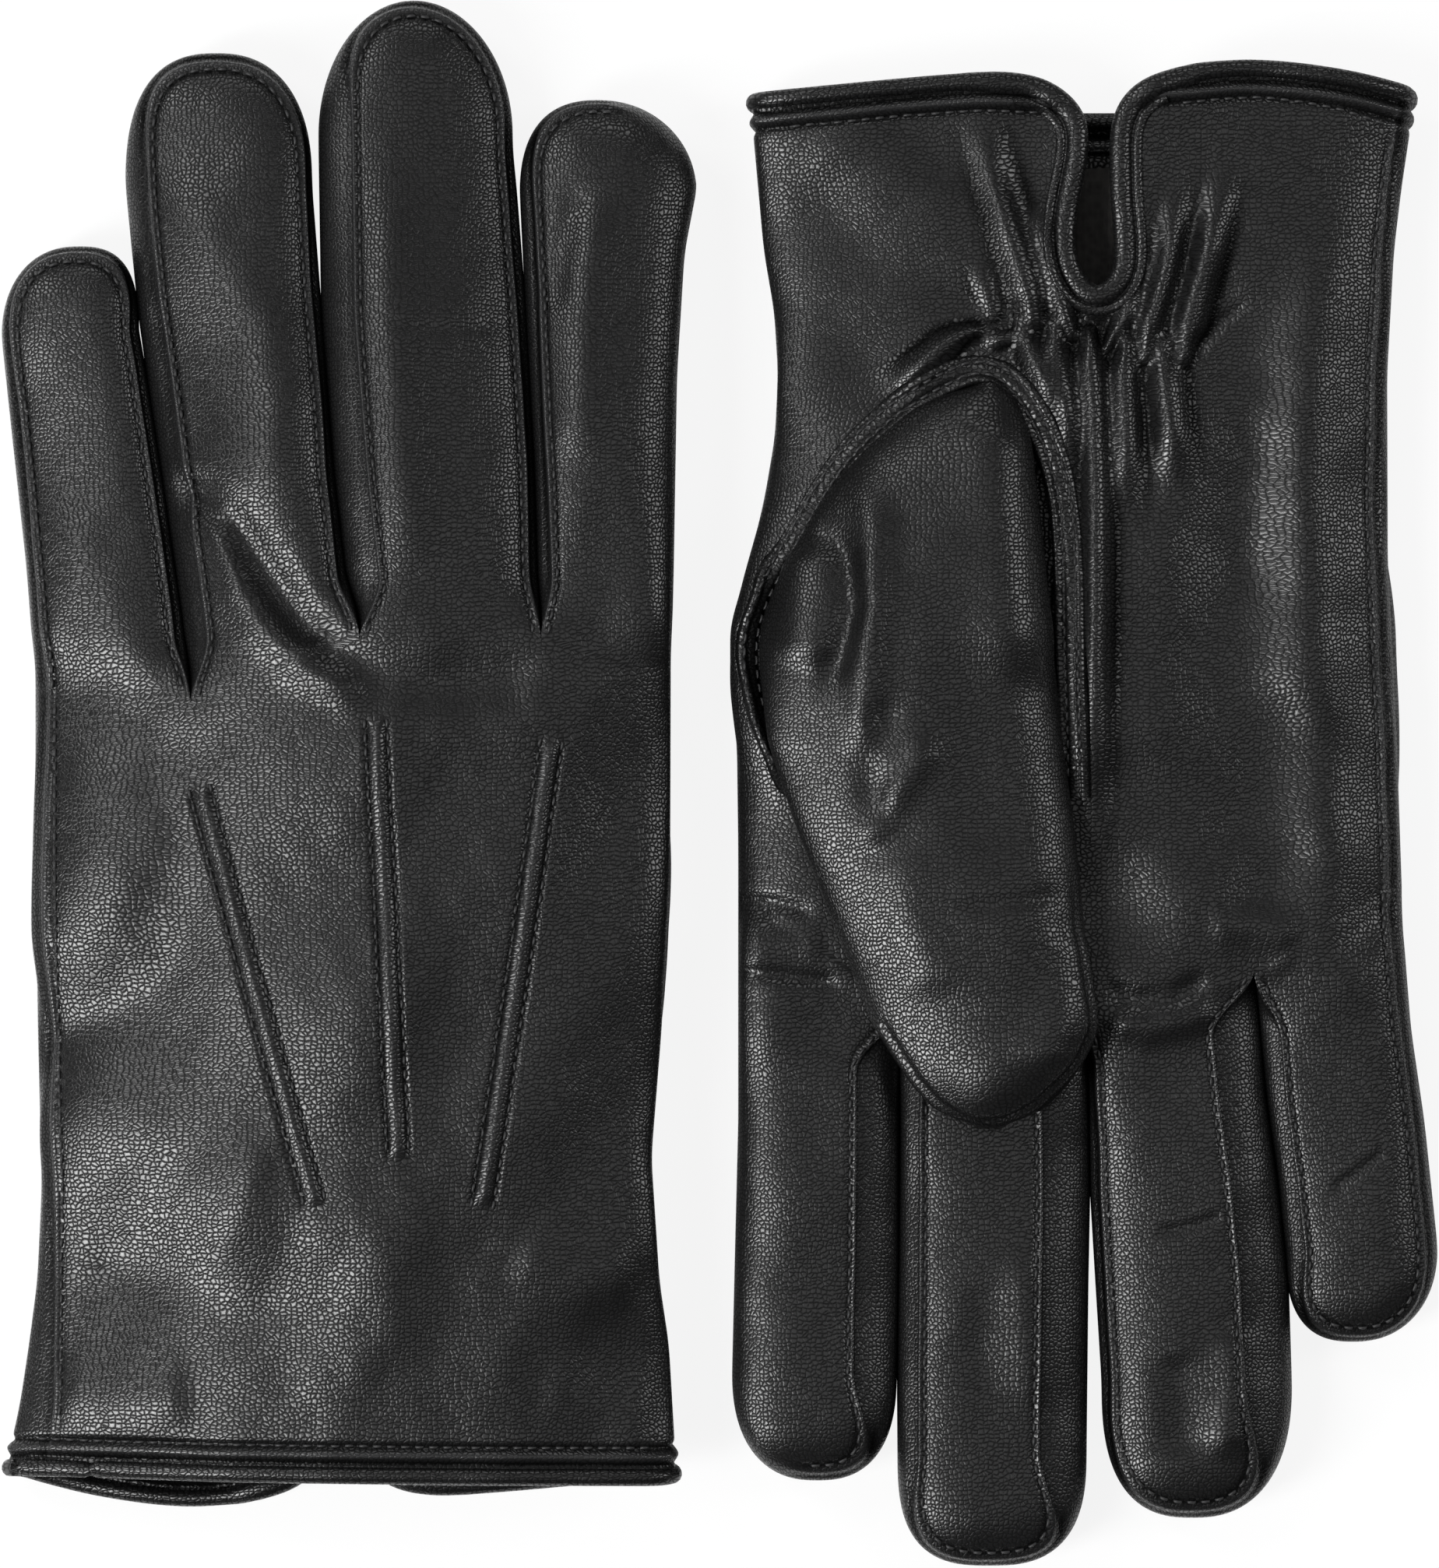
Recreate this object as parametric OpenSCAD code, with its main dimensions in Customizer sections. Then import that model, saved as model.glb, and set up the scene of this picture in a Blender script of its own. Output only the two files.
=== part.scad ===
// A pair of lined leather dress gloves. The left glove lies back up with its thumb under the palm,
// the right glove lies palm up beside it, turned end for end. Lengths are in millimetres.
// Each glove is drawn in its own frame: X towards the index finger, Y towards the fingertips,
// Z from the palm to the back of the hand, with the cuff edge at y = 0 and the palm's skin at z = 0.

/* [Hand] */
// Length from the cuff edge to the finger line
hand_len = 128; // [112:1:140]
// Flat width across the cuff edge
cuff_w = 107; // [98:1:116]
// Flat width at the wrist
wrist_w = 98; // [90:1:104]
// Distance from the cuff edge to the wrist
wrist_y = 46; // [40:1:56]
// Thickness of the hand as it lies
hand_t = 15; // [13:0.5:18]

/* [Fingers] */
// Lengths past the finger line: index, middle, ring, little
finger_len = [92, 107, 99, 69]; // [64:1:120]
// Widths at the finger line: index, middle, ring, little
finger_root_w = [21, 29, 26.5, 24]; // [20:0.5:32]
// Widths before the round of the tip: index, middle, ring, little
finger_tip_w = [25.5, 29.5, 28, 22]; // [20:0.5:32]
// Distances from the finger line to the bend at the middle knuckle
finger_bend = [47, 52, 47, 33]; // [30:1:56]
// How much thinner a finger is than the hand
finger_thinner = 1; // [0.5:0.1:2]
// Space between two fingers at the finger line
root_gap = 0.6; // [0.4:0.1:1]
// Spaces at the tips: index to middle, middle to ring, ring to little
tip_gap = [4.4, 2.8, 1.4]; // [1:0.1:6]
// Shift of the row of tips towards the index side
tip_shift = 0.7; // [-3:0.1:4]

/* [Thumb] */
// Distance from the cuff edge to the start of the thumb's root
thumb_root_y = 50; // [46:1:56]
// Distance from the cuff edge to the thumb's widest place
thumb_wide_y = 88; // [82:1:94]
// Length of the thumb from root to tip
thumb_len = 115; // [104:1:118]
// Width of the thumb at its widest place
thumb_wide_w = 46; // [40:1:50]
// Width of the thumb before the round of its tip
thumb_tip_w = 35; // [30:1:38]
// Thickness of the thumb as it lies
thumb_t = 10; // [9:0.5:12]
// Distance of the root's start from the middle line of the hand
thumb_root_x = 13; // [8:1:18]
// Distance of the widest place from the middle line of the hand
thumb_wide_x = 29; // [26:1:32]
// Distance of the tip from the middle line of the hand
thumb_tip_x = 16; // [10:1:22]
// Width of the round hole in the palm that the thumb is sewn to
thumb_hole_d = 22; // [18:1:26]

/* [Leather and lining] */
// Thickness of the leather
leather_t = 1; // [0.8:0.1:1.2]
// Thickness of the knitted lining
lining_t = 1.2; // [0.8:0.1:1.5]
// Space between leather and lining in the hand and the fingers
lining_gap = 0.9; // [0.8:0.05:0.95]
// Space between leather and lining in the thumb
thumb_lining_gap = 0.3; // [0.2:0.05:0.4]

/* [Cuff] */
// Thickness of the rolled binding
binding_d = 2.6; // [2:0.1:3.2]
// Clear width of the keyhole vent
vent_w = 6; // [4:0.5:9]
// Length of the vent from the cuff edge to the centre of its round end
vent_len = 28; // [22:1:32]
// Length of the wrist elastic across the palm
elastic_len = 42; // [34:1:48]
// Width of the wrist elastic
elastic_w = 5; // [3:0.5:6]
// Thickness of the wrist elastic
elastic_t = 0.3; // [0.2:0.05:0.4]

/* [Points and thread] */
// Height that a point stands up from the back
point_h = 0.8; // [0.5:0.1:1.2]
// Width of a point at its foot
point_w = 2.4; // [1.8:0.1:3]
// Thickness of the sewing thread
thread_d = 0.6; // [0.4:0.05:0.7]
// Distance from the cuff edge to the hem stitches
hem_y = 5; // [3:0.5:8]

/* [Pair] */
// Space between the two gloves
pair_gap = 4; // [2:0.5:20]
// How far the two gloves are shifted along each other
stagger = 15.5; // [0:0.5:30]

/* [Hidden] */
fingers = [0, 1, 2, 3];
fit = 0.1;
joint_gap = 0.15;
hem_clear = 0.18;
finger_t = hand_t - finger_thinner;
finger_z = hand_t / 2;
thread_r = thread_d / 2;
binding_r = binding_d / 2;
thumb_gap = thread_d + 0.2;
over_thumb = thumb_t + thumb_gap;
thumb_tip_y = thumb_root_y + thumb_len;
thumb_round = thumb_tip_w / 2;
thumb_bend_y = thumb_wide_y + thumb_hole_d / 2 + 5;
knuckle_w = finger_root_w * [1, 1, 1, 1] + 3 * root_gap;
tip_row_w = finger_tip_w * [1, 1, 1, 1] + tip_gap * [1, 1, 1];
glove_hi = max(cuff_w / 2, tip_row_w / 2 + tip_shift);
total_len = hand_len + max(finger_len);
left_at = [-pair_gap / 2 - glove_hi, -(total_len - stagger) / 2, 0];
right_at = [-left_at[0], -left_at[1], hand_t + max(point_h, binding_r - leather_t / 2)];
vent_cut_w = vent_w + 2 * binding_d + 2 * fit;
elastic_y = vent_len + vent_cut_w / 2 + 2;
lining_start = 3;
lining_end = hand_len - 4;
finger_back = 3.5;
hand_n = 32;
finger_n = 16;
hand_square = 4;
finger_square = 2.8;
thumb_square = 4;
edge_lay = -0.12;
cuff_lay = 0.8;
tip_lay = 0.25;
leather_colour = [0.13, 0.13, 0.14];
strip_colour = [0.18, 0.18, 0.19];
lining_colour = [0.30, 0.28, 0.27];
thread_colour = [0.22, 0.22, 0.23];
elastic_colour = [0.75, 0.73, 0.70];

function lerp(a, b, t) = a + (b - a) * t;
function smooth(t) = let(u = min(1, max(0, t))) u * u * (3 - 2 * u);
function total(v, k) = k <= 0 ? 0 : v[k - 1] + total(v, k - 1);
function flat(list) = [for (part = list) for (item = part) item];

// Middle of finger k at the finger line and at its tip, counted from the index side
function root_x(k) = knuckle_w / 2 - total(finger_root_w, k) - finger_root_w[k] / 2 - k * root_gap;
function tip_x(k) = tip_row_w / 2 + tip_shift - total(finger_tip_w, k) - finger_tip_w[k] / 2 - total(tip_gap, k);

// Height of the palm's skin above its own frame where the hand lies over its thumb
function lay_x(x) = lerp(edge_lay, 1, smooth((x + cuff_w / 2) / (cuff_w / 2 - 12)));
function lay_y(y) = y < thumb_root_y - 6 ? lerp(cuff_lay, 1, smooth(y / (thumb_root_y - 6)))
    : lerp(1, tip_lay, smooth((y - thumb_tip_y + 14) / (total_len - thumb_tip_y + 14)));
function lay(p, lift) = [p[0], p[1], p[2] + lift * lay_x(p[0]) * lay_y(p[1])];

// Half height of a flattened round section at the share c of its half width
function side_z(c, square) = pow(max(0, 1 - pow(abs(c), square)), 1 / square);
function section(x, y, z, w, t, square, n) = [for (i = [0 : n - 1]) let(a = 360 * i / n, c = cos(a))
    [x + w / 2 * c, y, z + t / 2 * (a < 180 ? 1 : -1) * side_z(c, square)]];

// A wall between two stacks of rings. Cells whose column is not kept are left open.
function wall_faces(rows, n, keep, tip) = let(in0 = rows * n) concat(
    flat([for (j = [0 : rows - 2]) for (i = [0 : n - 1]) if (keep[j][i] == 1) let(
        k = (i + 1) % n, a = j * n + i, b = j * n + k, c = a + n, d = b + n) concat(
        [[a, b, d], [a, d, c], [in0 + a, in0 + d, in0 + b], [in0 + a, in0 + c, in0 + d]],
        j == 0 || keep[max(0, j - 1)][i] == 0 ? [[b, a, in0 + a], [b, in0 + a, in0 + b]] : [],
        (j == rows - 2 && !tip) || (j < rows - 2 && keep[min(rows - 2, j + 1)][i] == 0)
            ? [[c, d, in0 + d], [c, in0 + d, in0 + c]] : [],
        keep[j][k] == 0 ? [[d, b, in0 + b], [d, in0 + b, in0 + d]] : [],
        keep[j][(i + n - 1) % n] == 0 ? [[a, c, in0 + c], [a, in0 + c, in0 + a]] : [])]),
    tip ? [[for (i = [0 : n - 1]) (rows - 1) * n + i], [for (i = [n - 1 : -1 : 0]) in0 + (rows - 1) * n + i]] : []);

module wall(outer, inner, keep, tip, lift) {
    n = len(outer[0]);
    points = [for (p = concat(flat(outer), flat(inner))) lay(p, lift)];
    polyhedron(points, wall_faces(len(outer), n, keep, tip), convexity = 6);
}

// A bar with a four or more sided section along a path of [point, outward direction]
function unit(v) = v / norm(v);
function step_dir(path, i, loop) = let(n = len(path), a = loop ? (i + n - 1) % n : max(0, i - 1),
    b = loop ? (i + 1) % n : min(n - 1, i + 1)) unit(path[b][0] - path[a][0]);
function bar_ring(path, i, loop, w, h, n) = let(t = step_dir(path, i, loop),
    u = unit(path[i][1] - t * (path[i][1] * t)), v = cross(t, u))
    [for (k = [0 : n - 1]) let(a = 360 * (k + 0.5) / n, s = 0.5 / cos(180 / n))
        path[i][0] + u * h * s * cos(a) + v * w * s * sin(a)];
function bar_faces(m, n, loop) = concat(
    flat([for (j = [0 : loop ? m - 1 : m - 2]) for (i = [0 : n - 1]) let(k = (i + 1) % n, s = ((j + 1) % m) * n)
        [[j * n + i, s + k, j * n + k], [j * n + i, s + i, s + k]]]),
    loop ? [] : [[for (i = [0 : n - 1]) i], [for (i = [n - 1 : -1 : 0]) (m - 1) * n + i]]);

module bar(path, loop, w, h, n) {
    m = len(path);
    points = flat([for (i = [0 : m - 1]) bar_ring(path, i, loop, w, h, n)]);
    polyhedron(points, bar_faces(m, n, loop), convexity = 8);
}

// Sections of the hand, drawn in by d from the leather's outside
function hand_w(y) = y < wrist_y ? lerp(cuff_w, wrist_w, smooth(y / wrist_y))
    : lerp(wrist_w, knuckle_w, smooth((y - wrist_y) / (hand_len - wrist_y)));
function hand_ring(y, d) = section(0, y, hand_t / 2, hand_w(y) - 2 * d, hand_t - 2 * d, hand_square, hand_n);
function hand_rows(y0, y1, rows, d) = [for (j = [0 : rows - 1]) hand_ring(lerp(y0, y1, j / (rows - 1)), d)];

// Sections of finger k at distance s past the finger line, drawn in by d. The last few make the round tip.
function finger_ring(k, s, d) = let(f = s / finger_len[k], r = finger_tip_w[k] / 2,
    u = max(0, (s - finger_len[k] + r) / r), q = sqrt(max(0.0, 1 - u * u)),
    w = lerp(finger_root_w[k], finger_tip_w[k], f) * q, t = finger_t * sqrt(max(q, 0.0)))
    section(lerp(root_x(k), tip_x(k), f), hand_len + s, finger_z,
        max(w - 2 * d, 0.6), max(t - 2 * d, 0.6), finger_square, finger_n);
function finger_stops(k) = let(r = finger_tip_w[k] / 2, end = finger_len[k] - r, from = finger_bend[k] + joint_gap)
    [from, lerp(from, end, 0.5), end, end + 0.5 * r, end + 0.8 * r, end + 0.96 * r];
function finger_end_rows(k, d) = [for (s = finger_stops(k)) finger_ring(k, min(s, finger_len[k] - d * 1.02), d)];
function finger_root_rows(k, d) = [for (s = [-finger_back, lerp(0, finger_bend[k], 0.5), finger_bend[k] - joint_gap])
    finger_ring(k, s, d)];

// Columns of a finger's section that are fourchette: on the index side, on the little side
function side_cell(k, i) = (k > 0 && (i == 0 || i == finger_n - 1))
    || (k < 3 && (i == finger_n / 2 || i == finger_n / 2 - 1));
function all_cells(rows, n) = [for (j = [0 : rows - 2]) [for (i = [0 : n - 1]) 1]];
function sleeve_cells(k, rows, open) = [for (j = [0 : rows - 2]) [for (i = [0 : finger_n - 1])
    j < open && side_cell(k, i) ? 0 : 1]];
function strip_cells(k, rows, open, high) = [for (j = [0 : rows - 2]) [for (i = [0 : finger_n - 1])
    j < open && side_cell(k, i) && (high == (i == 0 || i == finger_n - 1)) ? 1 : 0]];

module strips(k, outer, inner, open, lift) {
    rows = len(outer);
    for (high = [true, false])
        if ((high && k > 0) || (!high && k < 3))
            wall(outer, inner, strip_cells(k, rows, open, high), false, lift);
}

// Sections of the thumb, drawn in by d
function thumb_mid(y) = y < thumb_wide_y
    ? lerp(thumb_root_x, thumb_wide_x, (y - thumb_root_y) / (thumb_wide_y - thumb_root_y))
    : lerp(thumb_wide_x, thumb_tip_x, (y - thumb_wide_y) / (thumb_tip_y - thumb_wide_y));
function thumb_share(y) = y < thumb_wide_y
    ? let(u = 1 - (y - thumb_root_y) / (thumb_wide_y - thumb_root_y)) sqrt(max(0, 1 - u * u))
    : let(u = max(0, (y - thumb_tip_y + thumb_round) / thumb_round)) sqrt(max(0, 1 - u * u));
function thumb_ring(y, d) = let(q = thumb_share(y),
    w = y < thumb_wide_y ? thumb_wide_w : lerp(thumb_wide_w, thumb_tip_w,
        min(1, (y - thumb_wide_y) / (thumb_tip_y - thumb_round - thumb_wide_y))))
    section(thumb_mid(y), y, -thumb_gap - thumb_t / 2, max(w * q - 2 * d, 0.6),
        max(thumb_t * sqrt(q) - 2 * d, 0.5), thumb_square, finger_n);
function thumb_base_rows(d, end) = let(a = thumb_wide_y - thumb_root_y) concat(
    [for (s = [0.02, 0.1, 0.28, 0.55, 1]) thumb_ring(thumb_root_y + max(s * a, d * 1.1), d)],
    [thumb_ring(end, d)]);
function thumb_end_rows(d) = let(from = thumb_bend_y + joint_gap, b = thumb_tip_y - thumb_round) concat(
    [for (s = [0, 0.5, 1]) thumb_ring(lerp(from, b, s), d)],
    [for (s = [0.5, 0.8, 0.97]) thumb_ring(min(b + s * thumb_round, thumb_tip_y - d * 1.1), d)]);

// A stack of rings shut at both ends
module shut(rings, lift) {
    n = len(rings[0]);
    rows = len(rings);
    points = [for (p = flat(rings)) [p[0], p[1], p[2] + lift]];
    sides = flat([for (j = [0 : rows - 2]) for (i = [0 : n - 1]) let(k = (i + 1) % n, a = j * n + i, b = j * n + k)
        [[a, b, b + n], [a, b + n, a + n]]]);
    ends = [[for (i = [n - 1 : -1 : 0]) i], [for (i = [0 : n - 1]) (rows - 1) * n + i]];
    polyhedron(points, concat(sides, ends), convexity = 4);
}

// The three points on the back: ends on the middle line of the hand's frame
point_ends = [
    [[root_x(2) - 9.5, hand_len - 17], [-2.8, wrist_y - 4]],
    [[root_x(1) - 9, hand_len - 6], [10.5, wrist_y + 2]],
    [[root_x(0) - 6, hand_len - 11], [22.6, wrist_y - 5]]];
function point_path(k, side, z, lift) = [for (j = [0 : 6]) let(a = point_ends[k][0], b = point_ends[k][1],
    along = unit(b - a), across = [-along[1], along[0]], q = lerp(a, b, j / 6) + across * side)
    [lay([q[0], q[1], z], lift), [0, 0, 1]]];

// The cuff mouth and the keyhole as one closed path through the middle of the leather
function mouth_point(a, y, out) = let(c = cos(a), w = hand_w(max(0, y)) / 2 + out, t = hand_t / 2 + out)
    [w * c, y, hand_t / 2 + t * (a < 180 ? 1 : -1) * side_z(c, hand_square)];
mouth_x = vent_w / 2 + binding_d + 3;
mouth_a = acos(mouth_x / (cuff_w / 2));
function mouth_path(lift, y, out) = [for (j = [0 : 36]) let(
    a = (lerp(-mouth_a, 180 + mouth_a, j / 36) + 360) % 360)
    [lay(mouth_point(a, y, out), lift), [cos(a), 0, sin(a)]]];
function vent_path(lift) = let(x = vent_w / 2 + binding_r, z = leather_t / 2, r = binding_r + fit,
    turn = [for (a = [0, 30, 60]) [r * sin(a) - r, r * cos(a)]]) concat(
    [for (t = turn) [lay([-x + t[0], -t[1], z], lift), [0, 0, -1]]],
    [for (y = [0, vent_len * 0.5, vent_len]) [lay([-x, y, z], lift), [0, 0, -1]]],
    [for (a = [150 : -30 : 30]) [lay([x * cos(a), vent_len + x * sin(a), z], lift), [0, 0, -1]]],
    [for (y = [vent_len, vent_len * 0.5, 0]) [lay([x, y, z], lift), [0, 0, -1]]],
    [for (j = [2, 1, 0]) [lay([x - turn[j][0], -turn[j][1], z], lift), [0, 0, -1]]]);

module trank(lift) {
    color(leather_colour) difference() {
        union() {
            wall(hand_rows(0, hand_len, 12, 0), hand_rows(0, hand_len, 12, leather_t),
                all_cells(12, hand_n), false, lift);
            for (k = fingers)
                wall(finger_root_rows(k, 0), finger_root_rows(k, leather_t), sleeve_cells(k, 3, 3), false, lift);
            for (k = [0, 1, 2])
                bar(point_path(k, 0, hand_t - 0.4, lift), false, point_w, 2 * (point_h + 0.4), 4);
        }
        translate([-vent_cut_w / 2, -1, lift > 0 ? 0 : -1]) cube([vent_cut_w, vent_len + 1, hand_t / 2 + lift * cuff_lay]);
        translate([0, vent_len, lift > 0 ? 0 : -1]) cylinder(d = vent_cut_w, h = hand_t / 2 + lift * cuff_lay, $fn = 32);
        translate([thumb_wide_x, thumb_wide_y, lift - 1]) cylinder(d = thumb_hole_d, h = hand_t / 2, $fn = 32);
    }
}

module lining(lift) {
    d = leather_t + lining_gap;
    cut = vent_cut_w + 3;
    color(lining_colour) {
        difference() {
            wall(hand_rows(lining_start, lining_end, 9, d), hand_rows(lining_start, lining_end, 9, d + lining_t),
                all_cells(9, hand_n), false, lift);
            translate([-cut / 2, -1, lift > 0 ? 0 : -1]) cube([cut, vent_len + 1, hand_t / 2 + lift * cuff_lay]);
            translate([0, vent_len, lift > 0 ? 0 : -1]) cylinder(d = cut, h = hand_t / 2 + lift * cuff_lay, $fn = 32);
            translate([thumb_wide_x, thumb_wide_y, lift - 1]) cylinder(d = thumb_hole_d, h = hand_t / 2, $fn = 32);
        }
        for (k = fingers)
            wall(finger_root_rows(k, d), finger_root_rows(k, d + lining_t), all_cells(3, finger_n), false, lift);
    }
}

module fourchette_bases(lift) {
    color(strip_colour)
        for (k = fingers)
            strips(k, finger_root_rows(k, 0), finger_root_rows(k, leather_t), 3, lift);
}

module sleeve(k, lift) {
    color(leather_colour)
        wall(finger_end_rows(k, 0), finger_end_rows(k, leather_t), sleeve_cells(k, 6, 3), true, lift);
}

module fourchette(k, lift) {
    color(strip_colour)
        strips(k, finger_end_rows(k, 0), finger_end_rows(k, leather_t), 3, lift);
}

module finger_lining(k, lift) {
    d = leather_t + lining_gap;
    color(lining_colour)
        wall(finger_end_rows(k, d), finger_end_rows(k, d + lining_t), all_cells(6, finger_n), true, lift);
}

module thumb_hole(lift) {
    translate([thumb_wide_x, thumb_wide_y, lift - over_thumb + thumb_t / 2])
        cylinder(d = thumb_hole_d, h = thumb_t, $fn = 32);
}

module thumb_base(lift) {
    color(leather_colour) difference() {
        shut(thumb_base_rows(0, thumb_bend_y - joint_gap), lift);
        shut(thumb_base_rows(leather_t, thumb_bend_y + 1), lift);
        thumb_hole(lift);
    }
}

module thumb_base_lining(lift) {
    d = leather_t + thumb_lining_gap;
    color(lining_colour) difference() {
        shut(thumb_base_rows(d, thumb_bend_y - joint_gap), lift);
        shut(thumb_base_rows(d + lining_t, thumb_bend_y + 1), lift);
        thumb_hole(lift);
    }
}

module thumb_end(lift) {
    color(leather_colour)
        translate([0, 0, lift])
            wall(thumb_end_rows(0), thumb_end_rows(leather_t), all_cells(6, finger_n), true, 0);
}

module thumb_end_lining(lift) {
    d = leather_t + thumb_lining_gap;
    color(lining_colour)
        translate([0, 0, lift])
            wall(thumb_end_rows(d), thumb_end_rows(d + lining_t), all_cells(6, finger_n), true, 0);
}

module cuff_binding(lift) {
    color(leather_colour)
        bar(concat(mouth_path(lift, -binding_r - fit, -leather_t / 2), vent_path(lift)), true,
            binding_d, binding_d, 8);
}

module wrist_elastic(lift) {
    color(elastic_colour)
        bar([for (j = [0 : 6]) [lay([lerp(-0.5, 0.5, j / 6) * elastic_len, elastic_y + elastic_w / 2,
            leather_t + 2 * fit + elastic_t / 2], lift), [0, 0, 1]]], false, elastic_w, elastic_t, 4);
}

module point_thread(lift) {
    color(thread_colour)
        for (k = [0, 1, 2])
            for (side = [-1, 1])
                bar(point_path(k, side * (point_w / 2 + thread_d), hand_t + thread_r + 0.02, lift), false,
                    thread_d, thread_d, 4);
}

module hem_thread(lift) {
    color(thread_colour)
        bar(mouth_path(lift, hem_y, thread_r + hem_clear), false, thread_d, thread_d, 4);
}

module side_seam_thread(lift) {
    color(thread_colour)
        bar([for (j = [0 : 12]) let(y = lerp(hem_y + 2, hand_len - 1, j / 12))
            [lay([-hand_w(y) / 2 - thread_r - 0.05, y, hand_t / 2], lift), [-1, 0, 0]]], false, thread_d, thread_d, 4);
}

module thumb_seam_thread(lift) {
    color(thread_colour)
        translate([thumb_wide_x, thumb_wide_y, lift - thumb_gap / 2])
            rotate_extrude($fn = 48)
                translate([thumb_hole_d / 2 + 1.5, 0]) circle(r = thread_r, $fn = 12);
}

module left() {
    translate(left_at) children();
}

module right() {
    translate(right_at) mirror([1, 0, 0]) rotate([180, 0, 0]) children();
}

left() trank(over_thumb);  // left_trank
left() lining(over_thumb);  // left_lining
left() fourchette_bases(over_thumb);  // left_fourchette_bases
left() cuff_binding(over_thumb);  // left_cuff_binding
left() wrist_elastic(over_thumb);  // left_wrist_elastic
left() point_thread(over_thumb);  // left_point_thread
left() hem_thread(over_thumb);  // left_hem_thread
left() side_seam_thread(over_thumb);  // left_side_seam_thread
left() thumb_seam_thread(over_thumb);  // left_thumb_seam_thread
left() sleeve(0, over_thumb);  // left_index_sleeve
left() sleeve(1, over_thumb);  // left_middle_sleeve
left() sleeve(2, over_thumb);  // left_ring_sleeve
left() sleeve(3, over_thumb);  // left_little_sleeve
left() fourchette(0, over_thumb);  // left_index_fourchette
left() fourchette(1, over_thumb);  // left_middle_fourchettes
left() fourchette(2, over_thumb);  // left_ring_fourchettes
left() fourchette(3, over_thumb);  // left_little_fourchette
left() finger_lining(0, over_thumb);  // left_index_lining
left() finger_lining(1, over_thumb);  // left_middle_lining
left() finger_lining(2, over_thumb);  // left_ring_lining
left() finger_lining(3, over_thumb);  // left_little_lining
left() thumb_base(over_thumb);  // left_thumb_base
left() thumb_end(over_thumb);  // left_thumb_end
left() thumb_base_lining(over_thumb);  // left_thumb_base_lining
left() thumb_end_lining(over_thumb);  // left_thumb_end_lining
right() trank(0);  // right_trank
right() lining(0);  // right_lining
right() fourchette_bases(0);  // right_fourchette_bases
right() cuff_binding(0);  // right_cuff_binding
right() wrist_elastic(0);  // right_wrist_elastic
right() point_thread(0);  // right_point_thread
right() hem_thread(0);  // right_hem_thread
right() side_seam_thread(0);  // right_side_seam_thread
right() thumb_seam_thread(0);  // right_thumb_seam_thread
right() sleeve(0, 0);  // right_index_sleeve
right() sleeve(1, 0);  // right_middle_sleeve
right() sleeve(2, 0);  // right_ring_sleeve
right() sleeve(3, 0);  // right_little_sleeve
right() fourchette(0, 0);  // right_index_fourchette
right() fourchette(1, 0);  // right_middle_fourchettes
right() fourchette(2, 0);  // right_ring_fourchettes
right() fourchette(3, 0);  // right_little_fourchette
right() finger_lining(0, 0);  // right_index_lining
right() finger_lining(1, 0);  // right_middle_lining
right() finger_lining(2, 0);  // right_ring_lining
right() finger_lining(3, 0);  // right_little_lining
right() thumb_base(0);  // right_thumb_base
right() thumb_end(0);  // right_thumb_end
right() thumb_base_lining(0);  // right_thumb_base_lining
right() thumb_end_lining(0);  // right_thumb_end_lining
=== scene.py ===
import math

import bpy
import numpy as np
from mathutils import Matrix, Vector
from mathutils.bvhtree import BVHTree


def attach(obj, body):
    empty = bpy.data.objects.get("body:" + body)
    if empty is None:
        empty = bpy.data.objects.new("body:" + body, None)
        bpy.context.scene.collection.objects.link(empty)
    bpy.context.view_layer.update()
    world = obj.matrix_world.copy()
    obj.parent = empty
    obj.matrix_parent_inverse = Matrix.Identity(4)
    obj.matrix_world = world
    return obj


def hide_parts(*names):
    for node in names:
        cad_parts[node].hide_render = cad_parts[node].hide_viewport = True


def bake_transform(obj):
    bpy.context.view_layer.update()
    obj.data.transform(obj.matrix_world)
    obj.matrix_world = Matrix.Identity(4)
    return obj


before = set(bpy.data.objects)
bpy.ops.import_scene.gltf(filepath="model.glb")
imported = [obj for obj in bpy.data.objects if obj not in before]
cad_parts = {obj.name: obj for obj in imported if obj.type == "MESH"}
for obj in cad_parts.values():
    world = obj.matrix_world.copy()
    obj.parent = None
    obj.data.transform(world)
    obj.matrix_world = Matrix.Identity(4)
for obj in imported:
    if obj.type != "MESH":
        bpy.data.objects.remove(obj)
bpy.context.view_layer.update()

print("frame loaded")

mm = 0.001
fingerNames = ["little", "ring", "middle", "index"]

# where each glove's own frame sits, as in the part: the right glove is the left one's mirror image, palm up
pair = {"leftAt": (-59.5, -109.75, 0.0), "rightAt": (59.5, 109.75, 15.8), "floor": 0.03, "grainShift": 300.0}

# the left hand lies over its thumb: its lift, and the share of it at each border (share, from, over)
overThumb = {"lift": 10.8, "little": (-0.12, -53.5, 56), "cuff": (0.8, 44), "tips": (0.25, 151, 84)}

# the leather's mesh: columns of a strip and of a side, rows of the hand as (y, rows up to the next y)
cloth = {"strip": 52, "side": 18, "crowded": 0.75, "rows": [(0, 20), (6, 22), (24, 52), (52, 84), (128, 1)],
         "fingerStep": 0.8, "tipStep": 0.55, "tipTurn": 1.57, "tipGap": 0.02}


def ease(t):
    t = np.clip(t, 0.0, 1.0)
    return t * t * (3 - 2 * t)


def mix(a, b, t):
    return a + (b - a) * t


def hump(d, at, half):
    return np.exp(-(((d - at) / half) ** 2))


def bands(d, rows):  # soft ridges and ditches side by side: height, place and half width of each
    return sum(height * hump(d, at, half) for height, at, half in rows)


def fadeEnds(along, share):  # 0 at both ends of a line, 1 between
    return ease(along / share) * ease((1 - along) / share)


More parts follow.
